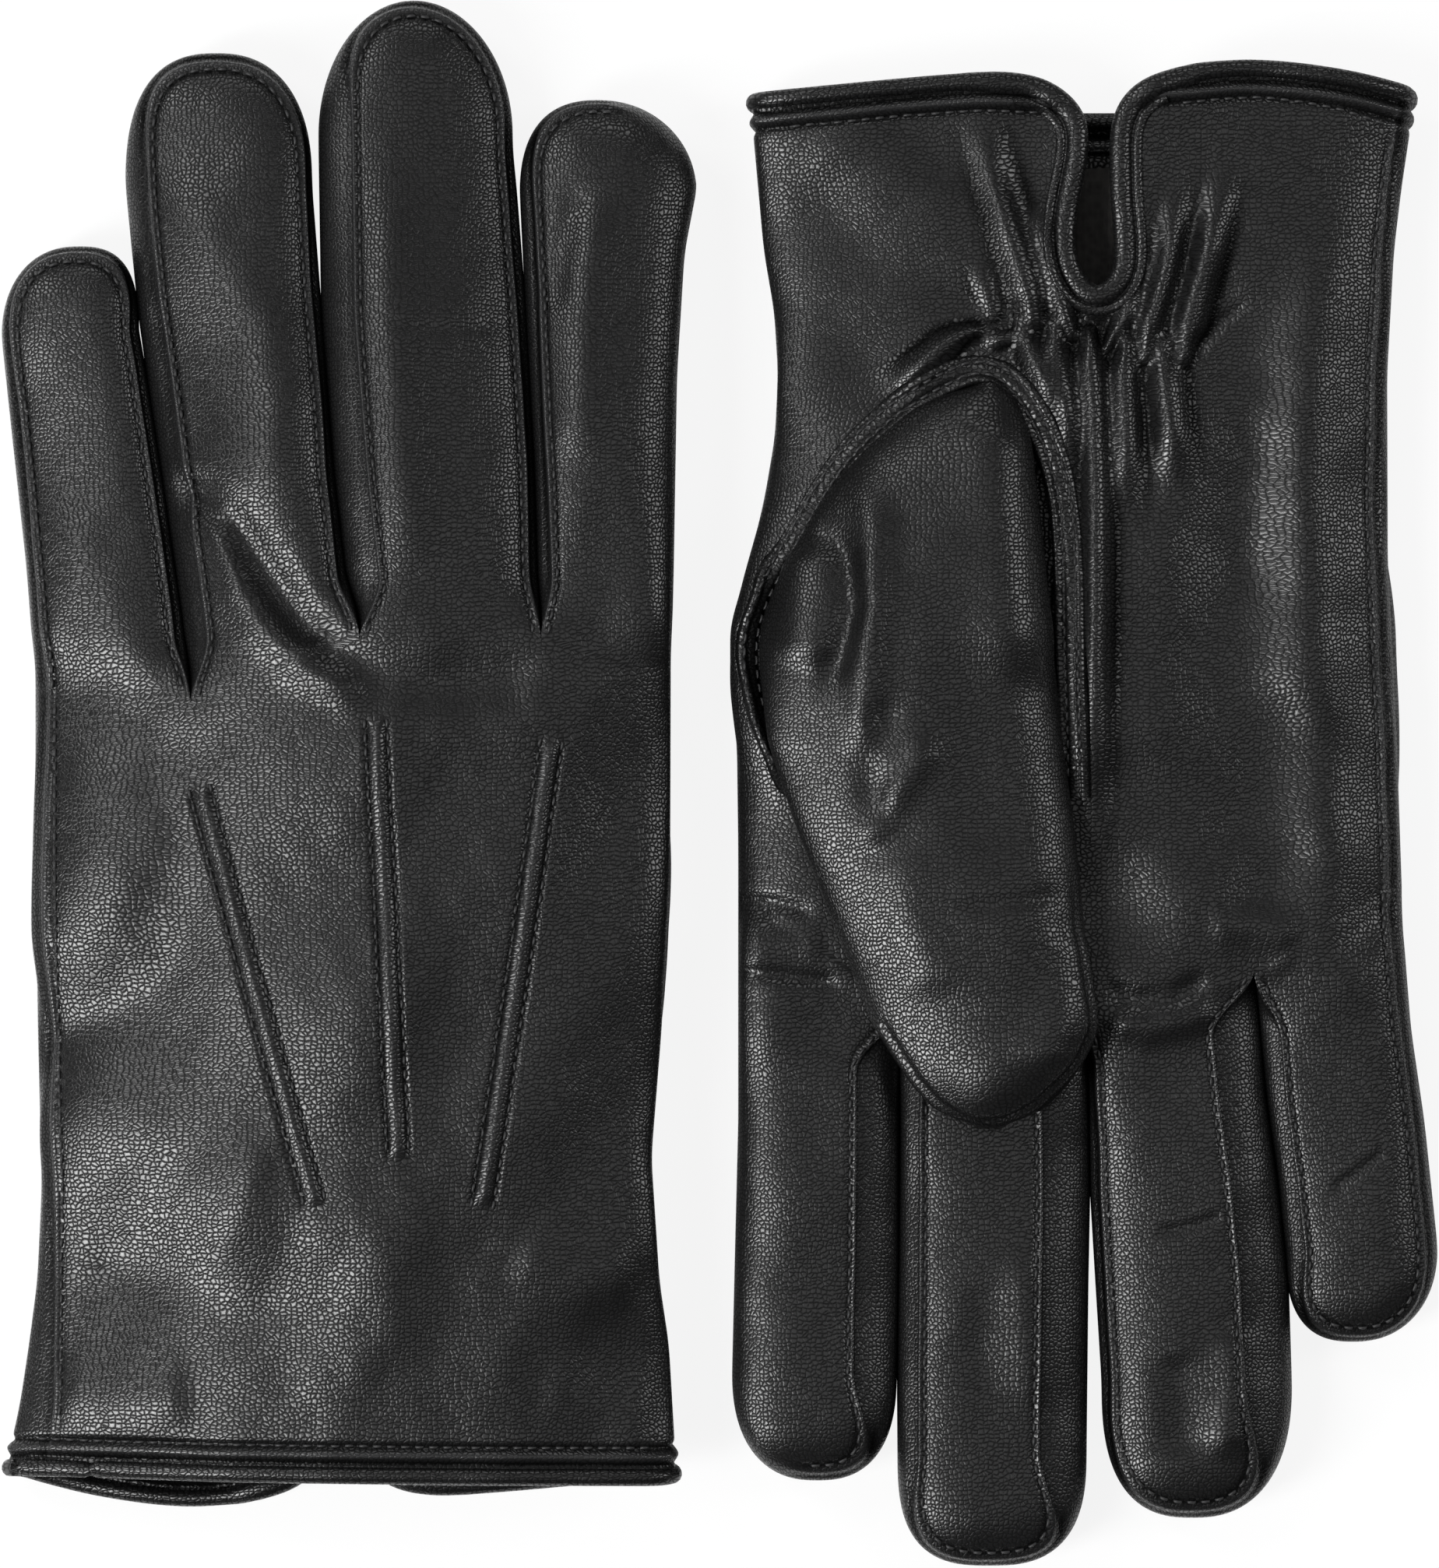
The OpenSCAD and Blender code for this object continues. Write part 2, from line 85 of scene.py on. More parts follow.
def roundEnd(t, power, least):  # from 1 down to nearly 0 along a round end, t from 0 to 1
    return np.maximum(1 - np.clip(t, 0, 1) ** power, least) ** (1 / power)


def unit(vectors, least=1e-9):
    return vectors / np.maximum(np.linalg.norm(vectors, axis=-1, keepdims=True), least)


def trace(stations, at, reach=2.5):  # a smooth line through (place, value) pairs
    values = np.array(stations, float)
    steps = np.linspace(-reach, reach, 7)
    return sum(np.interp(at + s, values[:, 0], values[:, 1]) for s in steps) / len(steps)


def toPath(x, y, path):  # distance to a line of plan points, and the share of its length at the nearest place
    points = np.array(path, float)
    legs = np.diff(points, axis=0)
    sizes = np.hypot(legs[:, 0], legs[:, 1])
    before = np.concatenate([[0], np.cumsum(sizes)[:-1]])
    best = np.full(np.shape(x), 1e9)
    along = np.zeros(np.shape(x))
    for a, d, size, start in zip(points[:-1], legs, sizes, before):
        t = np.clip(((x - a[0]) * d[0] + (y - a[1]) * d[1]) / (size * size), 0, 1)
        gap = np.hypot(x - a[0] - t * d[0], y - a[1] - t * d[1])
        near = gap < best
        best = np.where(near, gap, best)
        along = np.where(near, (start + t * size) / sizes.sum(), along)
    return best, along


def insideOf(x, y, path):  # True inside a closed line of plan points
    points = np.array(path, float)
    inside = np.zeros(np.shape(x), bool)
    for a, b in zip(points, np.roll(points, -1, axis=0)):
        cross = (a[1] > y) != (b[1] > y)
        with np.errstate(divide="ignore", invalid="ignore"):
            at = a[0] + (y - a[1]) * (b[0] - a[0]) / (b[1] - a[1])
        inside ^= cross & (x < at)
    return inside


def rounded(path, step):  # a plan line with its corners rounded, at even steps
    points = np.array(path, float)
    for turn in range(3):
        a, b = points[:-1], points[1:]
        corners = np.stack([mix(a, b, 0.25), mix(a, b, 0.75)], 1).reshape(-1, points.shape[1])
        points = np.vstack([points[:1], corners, points[-1:]])
    sizes = np.linalg.norm(np.diff(points, axis=0), axis=1)
    reach = np.concatenate([[0], np.cumsum(sizes)])
    stops = np.linspace(0, reach[-1], max(2, int(reach[-1] / step) + 1))
    return np.stack([np.interp(stops, reach, points[:, i]) for i in range(points.shape[1])], 1)


def beside(line):  # the way square to a plan line, on its right
    way = unit(np.gradient(line, axis=0))
    return np.stack([way[:, 1], -way[:, 0]], 1)


def drape(x, y):  # how far the left hand is lifted where it lies over its thumb
    least, edge, wide = overThumb["little"]
    cuffShare, cuffReach = overThumb["cuff"]
    tipShare, tipFrom, tipReach = overThumb["tips"]
    across = mix(least, 1.0, ease((x - edge) / wide))
    nearCuff = mix(cuffShare, 1.0, ease(y / cuffReach))
    beyond = mix(1.0, tipShare, ease((y - tipFrom) / tipReach))
    return overThumb["lift"] * across * np.where(y < cuffReach, nearCuff, beyond)


# a fold fades at its ends over a share of its line, and one that begins at an edge is narrow there
fold = {"fade": (0.22, 0.22), "edgeFade": 0.13, "narrow": 0.5, "narrowOver": 0.4}


def foldRelief(x, y, folds):
    total = np.zeros(np.shape(x))
    for height, half, path, *ends in folds:
        first, last = ends if ends else fold["fade"]
        d, along = toPath(x, y, path)
        wide = half * np.ones_like(d)
        if first < fold["edgeFade"]:
            wide *= mix(fold["narrow"], 1.0, ease(along / fold["narrowOver"]))
        total += height * hump(d / wide, 0, 1.0) * ease(along / first) * ease((1 - along) / last)
    return total


# the leather's slow rise and fall: heights, then number, turn and length of the long and the short waves
slack = {"hand": 0.46, "finger": 0.26, "thumb": 0.3, "fingerFrom": 30, "total": 3.3,
         "long": {"count": 11, "turn": 1.2, "least": 18, "ratio": 2.8, "unit": 28, "power": 0.8},
         "short": {"count": 9, "turn": 1.5, "least": 7, "most": 15, "unit": 60}}


def swell(x, y, angle, wave, shift):
    return np.sin((x * math.cos(angle) + y * math.sin(angle)) * 2 * math.pi / wave + shift)


def slackRelief(x, y, seed, height=slack["hand"]):
    draw = np.random.default_rng(seed)
    total = np.zeros(np.shape(x))
    long, short = slack["long"], slack["short"]
    for i in range(long["count"]):
        angle = draw.uniform(-long["turn"], long["turn"])
        wave = long["least"] * long["ratio"] ** draw.uniform(0, 1)
        shift = draw.uniform(0, 2 * math.pi)
        total += swell(x, y, angle, wave, shift) * (wave / long["unit"]) ** long["power"]
    for i in range(short["count"]):
        angle = draw.uniform(-short["turn"], short["turn"])
        wave = draw.uniform(short["least"], short["most"])
        shift = draw.uniform(0, 2 * math.pi)
        total += swell(x, y, angle, wave, shift) * wave / short["unit"]
    return total * height / slack["total"]


# outlines in millimetres: y runs from the cuff edge to the fingertips, x to the index side
leftPlan = {
    "seed": 7, "tuck": 7.5,
    "pinkyEdge": [(-4, -55.4), (1, -55), (10, -53), (20, -51.5), (30, -50.2), (45, -49.5), (70, -50.1),
                  (95, -50.5), (125, -50.5)],
    "indexEdge": [(-4, 52.8), (1, 52.5), (20, 51.4), (30, 49.9), (50, 48.6), (70, 50.2), (95, 51.6),
                  (128, 51.7)],
    "cuffBack": [(-56, 0.4), (-20, -0.4), (20, -0.8), (53, -1.0)],
    "crotchBack": [(-25.1, 122.8), (1.9, 132.8), (30.9, 132.8)],
    "crotchPalm": [(-25.8, 136), (1.5, 142), (30.9, 142)],
    "outerSplit": (124.0, 127.0),
    "fingers": {
        "little": {"low": [(115, -50.2), (126, -50.5), (145, -52), (165, -54.2), (182, -56)],
                   "high": [(118, -25.0), (136, -26.5), (160, -30.0), (175, -32.4), (184, -34)],
                   "tip": (-43.4, 196.2), "shoulder": 181, "round": 2.5, "back": (1.6, 1.4),
                   "palm": (1.6, 4.5), "sewn": (1, 1)},
        "ring": {"low": [(118, -25.2), (136, -26.7), (160, -30.2), (175, -32.5), (185, -33.9), (206, -36)],
                 "high": [(128, 1.8), (136, 0.7), (160, -2.2), (185, -4.2), (206, -5.9)],
                 "tip": (-21.5, 227.2), "shoulder": 206, "round": 2.45, "back": (3.6, 1.2),
                 "palm": (5.0, 1.6), "sewn": (1, 1)},
        "middle": {"low": [(128, 1.7), (136, 0.5), (160, -2.4), (185, -4.4), (212, -4.9)],
                   "high": [(128, 30.9), (136, 30.7), (160, 30.0), (185, 28.6), (205, 27.0), (212, 26.3)],
                   "tip": (10.4, 235.6), "shoulder": 214, "round": 2.0, "back": (5.4, 1.1),
                   "palm": (5.0, 2.0), "sewn": (1, 1)},
        "index": {"low": [(128, 30.8), (136, 30.6), (160, 29.8), (185, 28.4), (205, 27.4)],
                  "high": [(120, 51.6), (145, 52.2), (175, 52.7), (195, 53.9), (206, 56)],
                  "tip": (39.8, 219.6), "shoulder": 204, "round": 2.25, "back": (2.0, 3.0),
                  "palm": (5.0, 3.0), "sewn": (1, 0)},
    },
}
rightPlan = {
    "seed": 23, "tuck": 0.0,
    "pinkyEdge": [(-4, -52.2), (4, -51.6), (14, -50.1), (24, -48.9), (44, -47.8), (74, -47.9),
                  (104, -49.4), (134, -50.4)],
    "indexEdge": [(-4, 54.6), (4, 54.2), (24, 52.4), (34, 50.7), (44, 50.1), (54, 50.6), (64, 52.3),
                  (74, 54.7), (84, 57), (94, 57.5), (104, 56.7), (120, 56.5)],
    "cuffBack": [(-52, 1.4), (-20, 3.4), (20, 3.4), (54, 1.0)],
    "crotchBack": [(-25.6, 124), (1.2, 132.8), (30.9, 132.8)],
    "crotchPalm": [(-26.4, 139.6), (1.4, 145.5), (30.7, 145.5)],
    "outerSplit": (126.0, 128.0),
    "fingers": {
        "little": {"low": [(118, -50), (134, -50.4), (149, -51.6), (164, -53.8), (184, -55.9)],
                   "high": [(120, -25.6), (140, -26.4), (160, -28.2), (172, -29.9), (186, -31.5)],
                   "tip": (-42.2, 199.4), "shoulder": 184, "round": 2.4, "back": (1.6, 1.6),
                   "palm": (2.0, 2.9), "sewn": (1, 1)},
        "ring": {"low": [(120, -25.8), (140, -26.6), (160, -28.4), (172, -30.1), (190, -32), (206, -32.5)],
                 "high": [(128, 1.2), (146, 1.0), (160, 0.3), (175, 0), (190, -0.9), (206, -1.9)],
                 "tip": (-16.4, 227.7), "shoulder": 206, "round": 2.5, "back": (3.0, 1.6),
                 "palm": (7.6, 1.3), "sewn": (1, 1)},
        "middle": {"low": [(128, 1.0), (146, 0.8), (160, 0.1), (175, -0.1), (190, 0.2), (218, 0.5)],
                   "high": [(128, 30.9), (146, 30.7), (160, 30.7), (185, 30.8), (206, 31), (218, 30.9)],
                   "tip": (16.2, 235.4), "shoulder": 217, "round": 2.8, "back": (3.0, 1.6),
                   "palm": (7.4, 3.2), "sewn": (1, 1)},
        "index": {"low": [(128, 30.7), (146, 30.5), (160, 30.5), (185, 30.6), (206, 31)],
                  "high": [(120, 56.5), (164, 56.5), (184, 57), (205, 57.5)],
                  "tip": (43.8, 221.7), "shoulder": 204, "round": 2.45, "back": (3.0, 3.0),
                  "palm": (6.8, 3.0), "sewn": (1, 0)},
    },
}
# the cuff on the palm side, both gloves: two lobes beside the vent
cuffPalm = [(-56, 2.0), (-51, 0.9), (-47.5, -0.6), (-39.7, -3.0), (-32, -4.4), (-26.5, -4.9),
            (-21.5, -4.7), (-16.4, -4.1), (8, -2.4), (17, -2.8), (25, -2.3), (36, -1.3), (54, 0.4)]

hand = {"thick": [(-4, 13.2), (20, 13.0), (45, 13.6), (80, 15), (128, 15)], "square": 3.2, "middle": 7.5,
        "foldInset": 3.0, "pinkyInset": 2.2, "lineReach": 1.5, "crotchDip": 2.5, "grainTurn": 0.6}
# thickness, squareness of both faces at the root and beyond, the round tip, and how the root runs out
finger = {"thick": 14.0, "tipThick": 12.6, "thinFrom": 130, "back": (3.4, 2.35), "palm": (4.2, 2.9),
          "settle": 40, "tipRound": 11.0, "tipPower": 2.3, "tipSmooth": 1.2, "rootBlend": 11.0,
          "reliefFrom": 4, "seamFrom": 6, "seamOver": 10, "sewnFrom": 3, "leastInside": 0.22,
          "edgeEnd": 2, "foldedTip": 0.4, "foldedOver": 7, "palmSeam": 0.75, "palmWorn": 0.3}

# the three points on the back, from below a finger gap towards the wrist: a ridge with a ditch at each side,
# and painted shade in the ditches
backPoints = {"paths": [[(-23.9, 109.7), (-14.6, 76), (-5, 41.8)], [(4.5, 120.5), (6.4, 85), (8.2, 49.4)],
                        [(32.7, 117.2), (27.4, 80), (21.5, 41.8)]],
              "lift": [(0.62, 0, 1.3), (-0.42, 1.75, 0.36)], "worn": [(0.4, -0.2, 1.0)],
              "shade": [(0.9, 1.75, 0.36)], "row": 1.75, "rowStep": 0.2, "ends": 0.03, "shadeEnds": 0.02}
backLines = [  # the strip borders down the back follow the points
    [(-6, -2.5), (30, -4), (41.8, -5), (76, -14.6), (109.7, -23.9), (123, -25.2), (140, -26.5)],
    [(-6, 9), (30, 8.6), (49.4, 8.2), (85, 6.4), (120.5, 4.5), (133, 1.9), (146, 0)],
    [(-6, 19), (30, 20), (41.8, 21.5), (80, 27.4), (117.2, 32.7), (133, 30.9), (146, 30.8)]]
palmLines = [
    [(-6, -26), (60, -25), (110, -25.5), (138, -26.2), (150, -26.5)],
    [(-6, -1.4), (30, -1.4), (60, -0.6), (100, 0.5), (145, 1.4), (150, 1.4)],
    [(-6, 24), (60, 25), (100, 28), (145, 30.8), (150, 30.8)]]
# inset of the little side's seam on the back, by y
pinkySeam = [(-6, 6.6), (10, 5.6), (20, 4.0), (32, 2.6), (60, 2.3), (120, 2.2), (150, 2.0)]


def crowdedEnds(count, share):  # 0 to 1, closer together at both ends
    t = np.linspace(0, 1, count + 1)
    return mix(t, 0.5 - 0.5 * np.cos(np.pi * t), share)


def crown(u, square):  # height of a flattened round section at the share u of its half width
    return np.maximum(1 - np.abs(u) ** square, 0) ** (1 / square)


def sidePoints(s, uTop, uLow, square):  # round a section's edge, s from 1 (upper seam) to -1 (lower seam)
    topTurn = np.arccos(np.clip(uTop, 0, 1) ** (square / 2))
    lowTurn = np.arccos(np.clip(uLow, 0, 1) ** (square / 2))
    turn = np.where(s >= 0, topTurn, lowTurn) * np.abs(s) ** (square / 2)
    return np.cos(turn) ** (2 / square), np.sign(s) * np.sin(turn) ** (2 / square)


def gridNormals(grid):
    across = np.roll(grid, -1, axis=1) - np.roll(grid, 1, axis=1)
    return unit(np.cross(across, np.gradient(grid, axis=0)))


# folds that the photographed gloves show: height, half width, line, and how fast it fades at both ends
backFolds = [
    # the fold from the gap beside the little finger across the knuckles
    (-2.1, 3.0, [(-29, 160), (-25.2, 156.5), (-18.5, 151.3), (-13.2, 144), (-7.9, 136.5), (-2.2, 130.7),
                 (5, 127.4)], 0.15, 0.3),
    (-0.9, 4.6, [(-2.2, 130.7), (5, 127.4), (13.6, 125.4), (24, 126), (33, 129)]),
    (1.7, 3.2, [(-24, 158), (-21.3, 152.8), (-19.2, 147), (-17.4, 141), (-13.7, 135), (-7.9, 129.6),
                (-1.2, 125.6), (5, 122)], 0.2, 0.2),
    (0.5, 5.0, [(10, 118.5), (18, 118.5), (26, 120.5), (34, 124)]),
    # the little side of the hand is held square by its seam
    (2.6, 13.0, [(-43, 68), (-42, 92), (-40, 130)], 0.3, 0.4),
    (0.9, 6.0, [(-31, 212), (-26, 202), (-20, 192), (-13.6, 182), (-11.4, 171), (-13, 160), (-9, 148)]),
    (-0.5, 4.5, [(-33, 188), (-28, 178), (-24, 168), (-24, 160)]),
    (0.8, 5.0, [(-46, 158), (-42, 144), (-36, 131), (-27, 122), (-18, 118)]),
    (-0.6, 2.4, [(37.5, 207), (35.6, 200), (33.6, 192), (33, 184)]),
    (0.9, 4.2, [(41, 205), (38.6, 194), (37.6, 178), (37, 160)]),
    (0.9, 4.5, [(6, 212), (6.4, 190), (8, 165), (12, 142)]),
    # the soft swell over the heel of the hand
    (1.5, 12.0, [(-50, 66), (-38, 56), (-24, 47), (-8, 40)]),
    (-1.0, 8.0, [(-46, 36), (-32, 30), (-14, 27), (8, 30)]),
    (0.9, 6.0, [(26, 36), (36, 31), (47, 29)]),
    (0.7, 6.0, [(30, 13), (42, 9.6), (50, 8)]),
    (0.9, 6.0, [(-48, 12), (-38, 10), (-24, 12)]),
    (-0.18, 0.9, [(4, 184), (14, 182.6), (26, 182.8)]),
    (-0.15, 0.9, [(-28, 175), (-18, 174), (-8, 175)]),
]
palmFolds = [
    # the deep valleys between the pleats
    (-0.9, 1.5, [(14.7, 6.5), (12.7, 14), (10.3, 21.2), (8.3, 26.8), (6.3, 32.8), (5.7, 36)], 0.3, 0.2),
    (-0.7, 1.4, [(6.4, 20), (5, 27), (3.4, 32.4), (1.2, 35.6), (-1.3, 36.2), (-4.4, 35),
                 (-7, 31.6)], 0.3, 0.2),
    (-0.7, 1.4, [(-11.8, 20), (-10.6, 26.8), (-8.9, 31), (-7.3, 35.8)], 0.3, 0.2),
    (-0.8, 1.5, [(-17, 16), (-16, 21.2), (-14.8, 28), (-12.9, 34.4), (-11.4, 37.6)], 0.35, 0.2),
    (-0.6, 1.1, [(-26, 32), (-21, 35.6), (-18, 39), (-16.8, 42.4)], 0.4, 0.15),
    (-0.8, 1.4, [(22, 42), (18, 40), (14, 40.8), (10.6, 44)], 0.3, 0.3),
    (-0.7, 1.5, [(-7.8, 42), (-8.5, 47), (-9.2, 54), (-9, 62)], 0.2, 0.5),
    # long soft rolls down the little side
    (1.9, 6.0, [(-42, 8), (-38.5, 22), (-35.8, 36), (-34.4, 50), (-34.6, 72), (-37, 98), (-38.4, 122),
                (-41, 150)]),
    (-0.9, 6.5, [(-26, 46), (-24, 70), (-25, 100), (-26, 122)]),
    (0.7, 5.0, [(-12, 60), (-12, 85), (-11, 112)]),
    # two creases across the root of the index finger
    (-1.0, 0.9, [(58, 128), (50, 129), (43.6, 130.6)], 0.1, 0.25),
    (-1.0, 0.9, [(58, 139.6), (50.6, 140.4), (42.4, 141.4), (39.6, 142.4)], 0.1, 0.2),
    (0.6, 2.6, [(58, 134), (50, 135), (42, 136)]),
    (-0.9, 1.5, [(-1, 141.5), (-7, 144.4), (-13, 144), (-20, 140)]),
    (0.8, 2.6, [(-2, 147), (-9, 149), (-16, 147.5), (-21, 145)]),
    (0.7, 3.0, [(-18, 133), (-26, 132), (-34, 135)]),
    # creases and soft ridges of the fingers
    (-0.5, 0.8, [(-10, 182), (-16, 180.8), (-22, 178.6)]),
    (-0.5, 0.8, [(-38, 175.6), (-42, 172.6), (-48, 168.4)]),
    (1.1, 3.2, [(-22.6, 196), (-23.4, 207), (-21.4, 219)]),
    (-0.8, 3.6, [(-14, 200), (-14.6, 210), (-14.4, 219)]),
    (0.6, 3.2, [(10.6, 182), (10, 197), (9, 212)]),
    (-0.35, 3.0, [(17, 188), (17.6, 200), (16, 210)]),
]

# wrist pleats: height, half width, line from the open end to the tip that the elastic holds
pleats = {"step": 1.5, "dip": 0.9, "reach": 4.0, "ends": 0.15, "fade": 0.5, "taller": 1.35, "round": 1.1,
          "tip": (0.45, 6.0), "valleyAt": 1.05, "valley": 0.34, "bodyShade": 1.8,
          "elastic": [(16, 36.2), (6, 37.4), (-2, 38.6), (-9, 40), (-18, 41)],
          "fromCuff": [(0.7, 2.4, [(18.2, 25), (17, 30), (15.6, 34.6)]),
                       (1.9, 3.8, [(18.6, 0), (16, 10), (13.4, 18), (10.8, 27.6), (9, 35.6)]),
                       (1.6, 2.3, [(9.6, 14), (8.4, 20), (6.9, 26), (5, 32), (2.9, 37.8)]),
                       (1.3, 1.9, [(-9, 28.4), (-6.6, 33), (-4.3, 36.6), (-2.7, 39.6)]),
                       (1.9, 2.9, [(-14.6, 11), (-13.7, 18), (-12.6, 24.6), (-10.8, 32), (-9, 38),
                                   (-8.7, 41.4)]),
                       (1.9, 3.3, [(-22, 8), (-20.4, 17), (-18.7, 25), (-16.5, 32.8), (-15, 38),
                                   (-15, 41.4)])],
          "fromPalm": [(1.8, 2.7, [(34, 47), (26.4, 42), (21.9, 38), (18.6, 36.8)]),
                       (1.3, 2.0, [(17, 38.4), (14.6, 38.8), (12.4, 37.8)]),
                       (1.8, 2.5, [(3.6, 54), (6.3, 46.7), (9, 41.2), (10.9, 37.4), (11.5, 35.4)]),
                       (1.8, 2.5, [(2.4, 60), (3.6, 49), (4.9, 44), (5.7, 39.6), (5.9, 36.2)]),
                       (1.9, 2.9, [(-0.8, 126), (-1, 90), (-1.2, 66), (-1, 54.7), (-0.6, 48.7), (0, 43),
                                   (0.3, 37.4)]),
                       (1.8, 3.1, [(-5.8, 70), (-5.8, 55), (-5.6, 46), (-5.6, 42), (-5.7, 38.8)]),
                       (1.8, 3.5, [(-14.6, 64), (-12.8, 52), (-12, 45), (-11.7, 41.6), (-11.6, 38.8)])]}


# painted shade: the valleys beside the tongues and along the elastic are darkened through the seamShade mask
def pleatRelief(x, y):  # tongues from both sides of the elastic, and how dark the valleys beside them are
    crest, body, edge = np.zeros((3,) + np.shape(x))
    share, reach = pleats["tip"]
    for height, half, path in pleats["fromCuff"] + pleats["fromPalm"]:
        line = rounded(path, pleats["step"])
        d, along = toPath(x, y, line)
        fromTip = (1 - along) * np.hypot(*np.diff(line, axis=0).T).sum()
        out = d / (half * mix(share, 1, ease(fromTip / reach)))
        fade = ease(along / pleats["fade"])
        tongue = np.maximum(1 - out ** 2, 0) ** pleats["round"] * fade
        crest = np.maximum(crest, height * pleats["taller"] * tongue)
        body = np.maximum(body, tongue)
        edge = np.maximum(edge, hump(out, pleats["valleyAt"], pleats["valley"]) * fade)
    d, along = toPath(x, y, pleats["elastic"])
    held = hump(d, 0, pleats["reach"]) * fadeEnds(along, pleats["ends"])
    lift = crest - pleats["dip"] * held
    for axis in (0, 1, 0, 1):  # the leather is too thick for a sharp fold
        lift = (np.roll(lift, 1, axis) + 2 * lift + np.roll(lift, -1, axis)) / 4
    return lift, np.maximum(edge, held) * (1 - ease(body * pleats["bodyShade"]))


# thumb outline: y, the little side edge, the index side edge
thumb = {"edges": [(45.2, 14.6, 17.4), (46, 13.4, 20.2), (47.2, 12.3, 23.6), (49, 11.4, 27.8),
                   (51, 10.7, 31), (54.6, 10.1, 35.6), (58.2, 9.6, 39), (62.2, 9.1, 42), (67, 8.5, 45),
                   (71.6, 8, 47.4), (77.8, 7.3, 50.4), (83.2, 6.6, 52.6), (87.6, 6.1, 53.2),
                   (92, 5.6, 53), (102.8, 4.5, 51.8), (108, 3.8, 50.2), (115, 2.9, 47.8),
                   (122.4, 2, 45.1), (130.5, 1.2, 42), (138.5, 0.6, 38.8), (146.6, -0.9, 35.7),
                   (149.2, -1.2, 34.5), (153.7, 0.8, 31.6), (158.2, 3.8, 28.6), (162, 7.6, 25),
                   (164.2, 11.5, 21), (165, 14.6, 18.4)],
         "high": [(45, 2.2), (50, 4.6), (56, 6.6), (64, 8.0), (77, 9.2), (92, 9.8), (130, 10.0), (167, 9.0)],
         "square": 2.15, "slope": 2.0, "lean": 0.22, "rim": 0.14, "tipRound": 13.0, "tipPower": 2.4,
         "rows": 150, "columns": 112, "reach": 1.2, "evenRows": 0.45, "pinch": (4, 3), "pinchShare": 0.35,
         "palmAt": -0.5, "heart": 0.6, "under": 2.0, "flat": 0.02, "free": (78, 26),
         "grainTurn": 0.6, "tipGrain": 8}
# the seam round the thumb's tip and up its little side, by the distance from the outline
thumbSeam = {"lift": [(0.35, 0.6, 0.5), (-0.4, 1.5, 0.45), (0.2, 2.4, 0.6)], "tip": 148, "over": 4,
             "from": (120, 20), "ends": (3, 2)}
thumbFolds = [
    (2.0, 6.6, [(14.6, 46), (13.6, 60), (12.2, 76), (10.8, 96)]),
    (1.4, 2.8, [(36.4, 57), (34.8, 70), (35.4, 84), (36.4, 98), (34, 112)]),
    (-1.6, 1.9, [(45, 66), (39.4, 73.4), (38, 81.4), (40.4, 88.6), (43.4, 97)]),
    (1.2, 4.4, [(47, 70), (46, 81), (46.4, 92)]),
    (-1.0, 2.4, [(32, 95), (35.6, 106), (33.4, 118)]),
    (1.0, 2.4, [(25, 101), (29, 108), (33, 113.6), (37, 121)]),
    (0.8, 5.0, [(33, 118), (29, 132), (25, 146)]),
    (-0.8, 6.0, [(20, 84), (18, 105), (16, 125)]),
    (1.2, 5.0, [(1, 132), (3, 145), (8, 158)]),
    (-0.5, 1.2, [(22, 129.5), (14, 128.8), (4, 127.4)]),
]
weltLine = [(2.9, 112), (3, 100), (3.5, 88), (3.6, 78), (3.9, 69), (5, 61), (7.2, 54.4), (10.2, 48.4),
            (14, 44.2), (18.6, 43), (25, 45.6), (32, 50.4), (38.4, 56.2), (43.2, 63), (47.8, 71.4),
            (52, 78.6), (54.2, 85), (54.4, 91), (53.2, 98), (50.8, 104), (47, 110), (42.6, 116)]
# middle of the binding round the vent, from the index side lobe to the little side lobe
ventLine = [(17.2, -2.8), (12.1, -2.7), (7.9, -1.8), (4.6, 0.3), (2.8, 2.5), (2.0, 5), (2.1, 8.5),
            (2.7, 12), (3.6, 16), (4.2, 20.4), (4.2, 24.5), (3.4, 27.4), (1.9, 29.8), (-0.2, 31.5),
            (-1.9, 31.6), (-3.9, 30.1), (-5.2, 28), (-5.7, 25.6), (-5.5, 20.4), (-5, 16), (-4.9, 12),
            (-4.8, 8.5), (-4.9, 5.3), (-5.5, 2.6), (-6.8, 0.3), (-8.7, -1.4), (-11.4, -2.7), (-16.6, -4.1)]
ventHole = ventLine + [(-16.6, -12), (17.2, -12)]

# round the thumb's root the palm is open inside the welt and swells outside it: height and reach
thumbRoot = {"sunk": (-4.5, 1.8), "raised": (1.8, 7.0), "end": (114, 14), "tuck": (12, 42)}


def thumbOutline():
    low = [(e[1], e[0]) for e in thumb["edges"]]
    high = [(e[2], e[0]) for e in thumb["edges"]]
    return low + high[::-1]


def tuckedX(x, plan):  # the left thumb is pulled under the hand
    start, over = thumbRoot["tuck"]
    return x - plan["tuck"] * ease((x - start) / over)


def thumbHole(plan):
    line = np.array(weltLine, float)
    line[:, 0] = tuckedX(line[:, 0], plan)
    return line


def aroundThumb(x, y, plan):  # how far the palm is sunk, and how far it is raised
    hole = thumbHole(plan)
    d = toPath(x, y, hole)[0]
    inside = insideOf(x, y, hole)
    end, over = thumbRoot["end"]
    deep, wall = thumbRoot["sunk"]
    high, reach = thumbRoot["raised"]
    fade = ease((end - y) / over)
    sunk = np.where(inside, deep * ease(d / wall), 0.0) * fade
    raised = np.where(inside, 0.0, high * hump(d, 0, reach)) * fade
    return sunk, raised


def backRelief(x, y, plan):
    total = foldRelief(x, y, backFolds) + slackRelief(x, y, plan["seed"])
    for path in backPoints["paths"]:
        d, along = toPath(x, y, path)
        total += bands(d, backPoints["lift"]) * fadeEnds(along, backPoints["ends"])
    return total


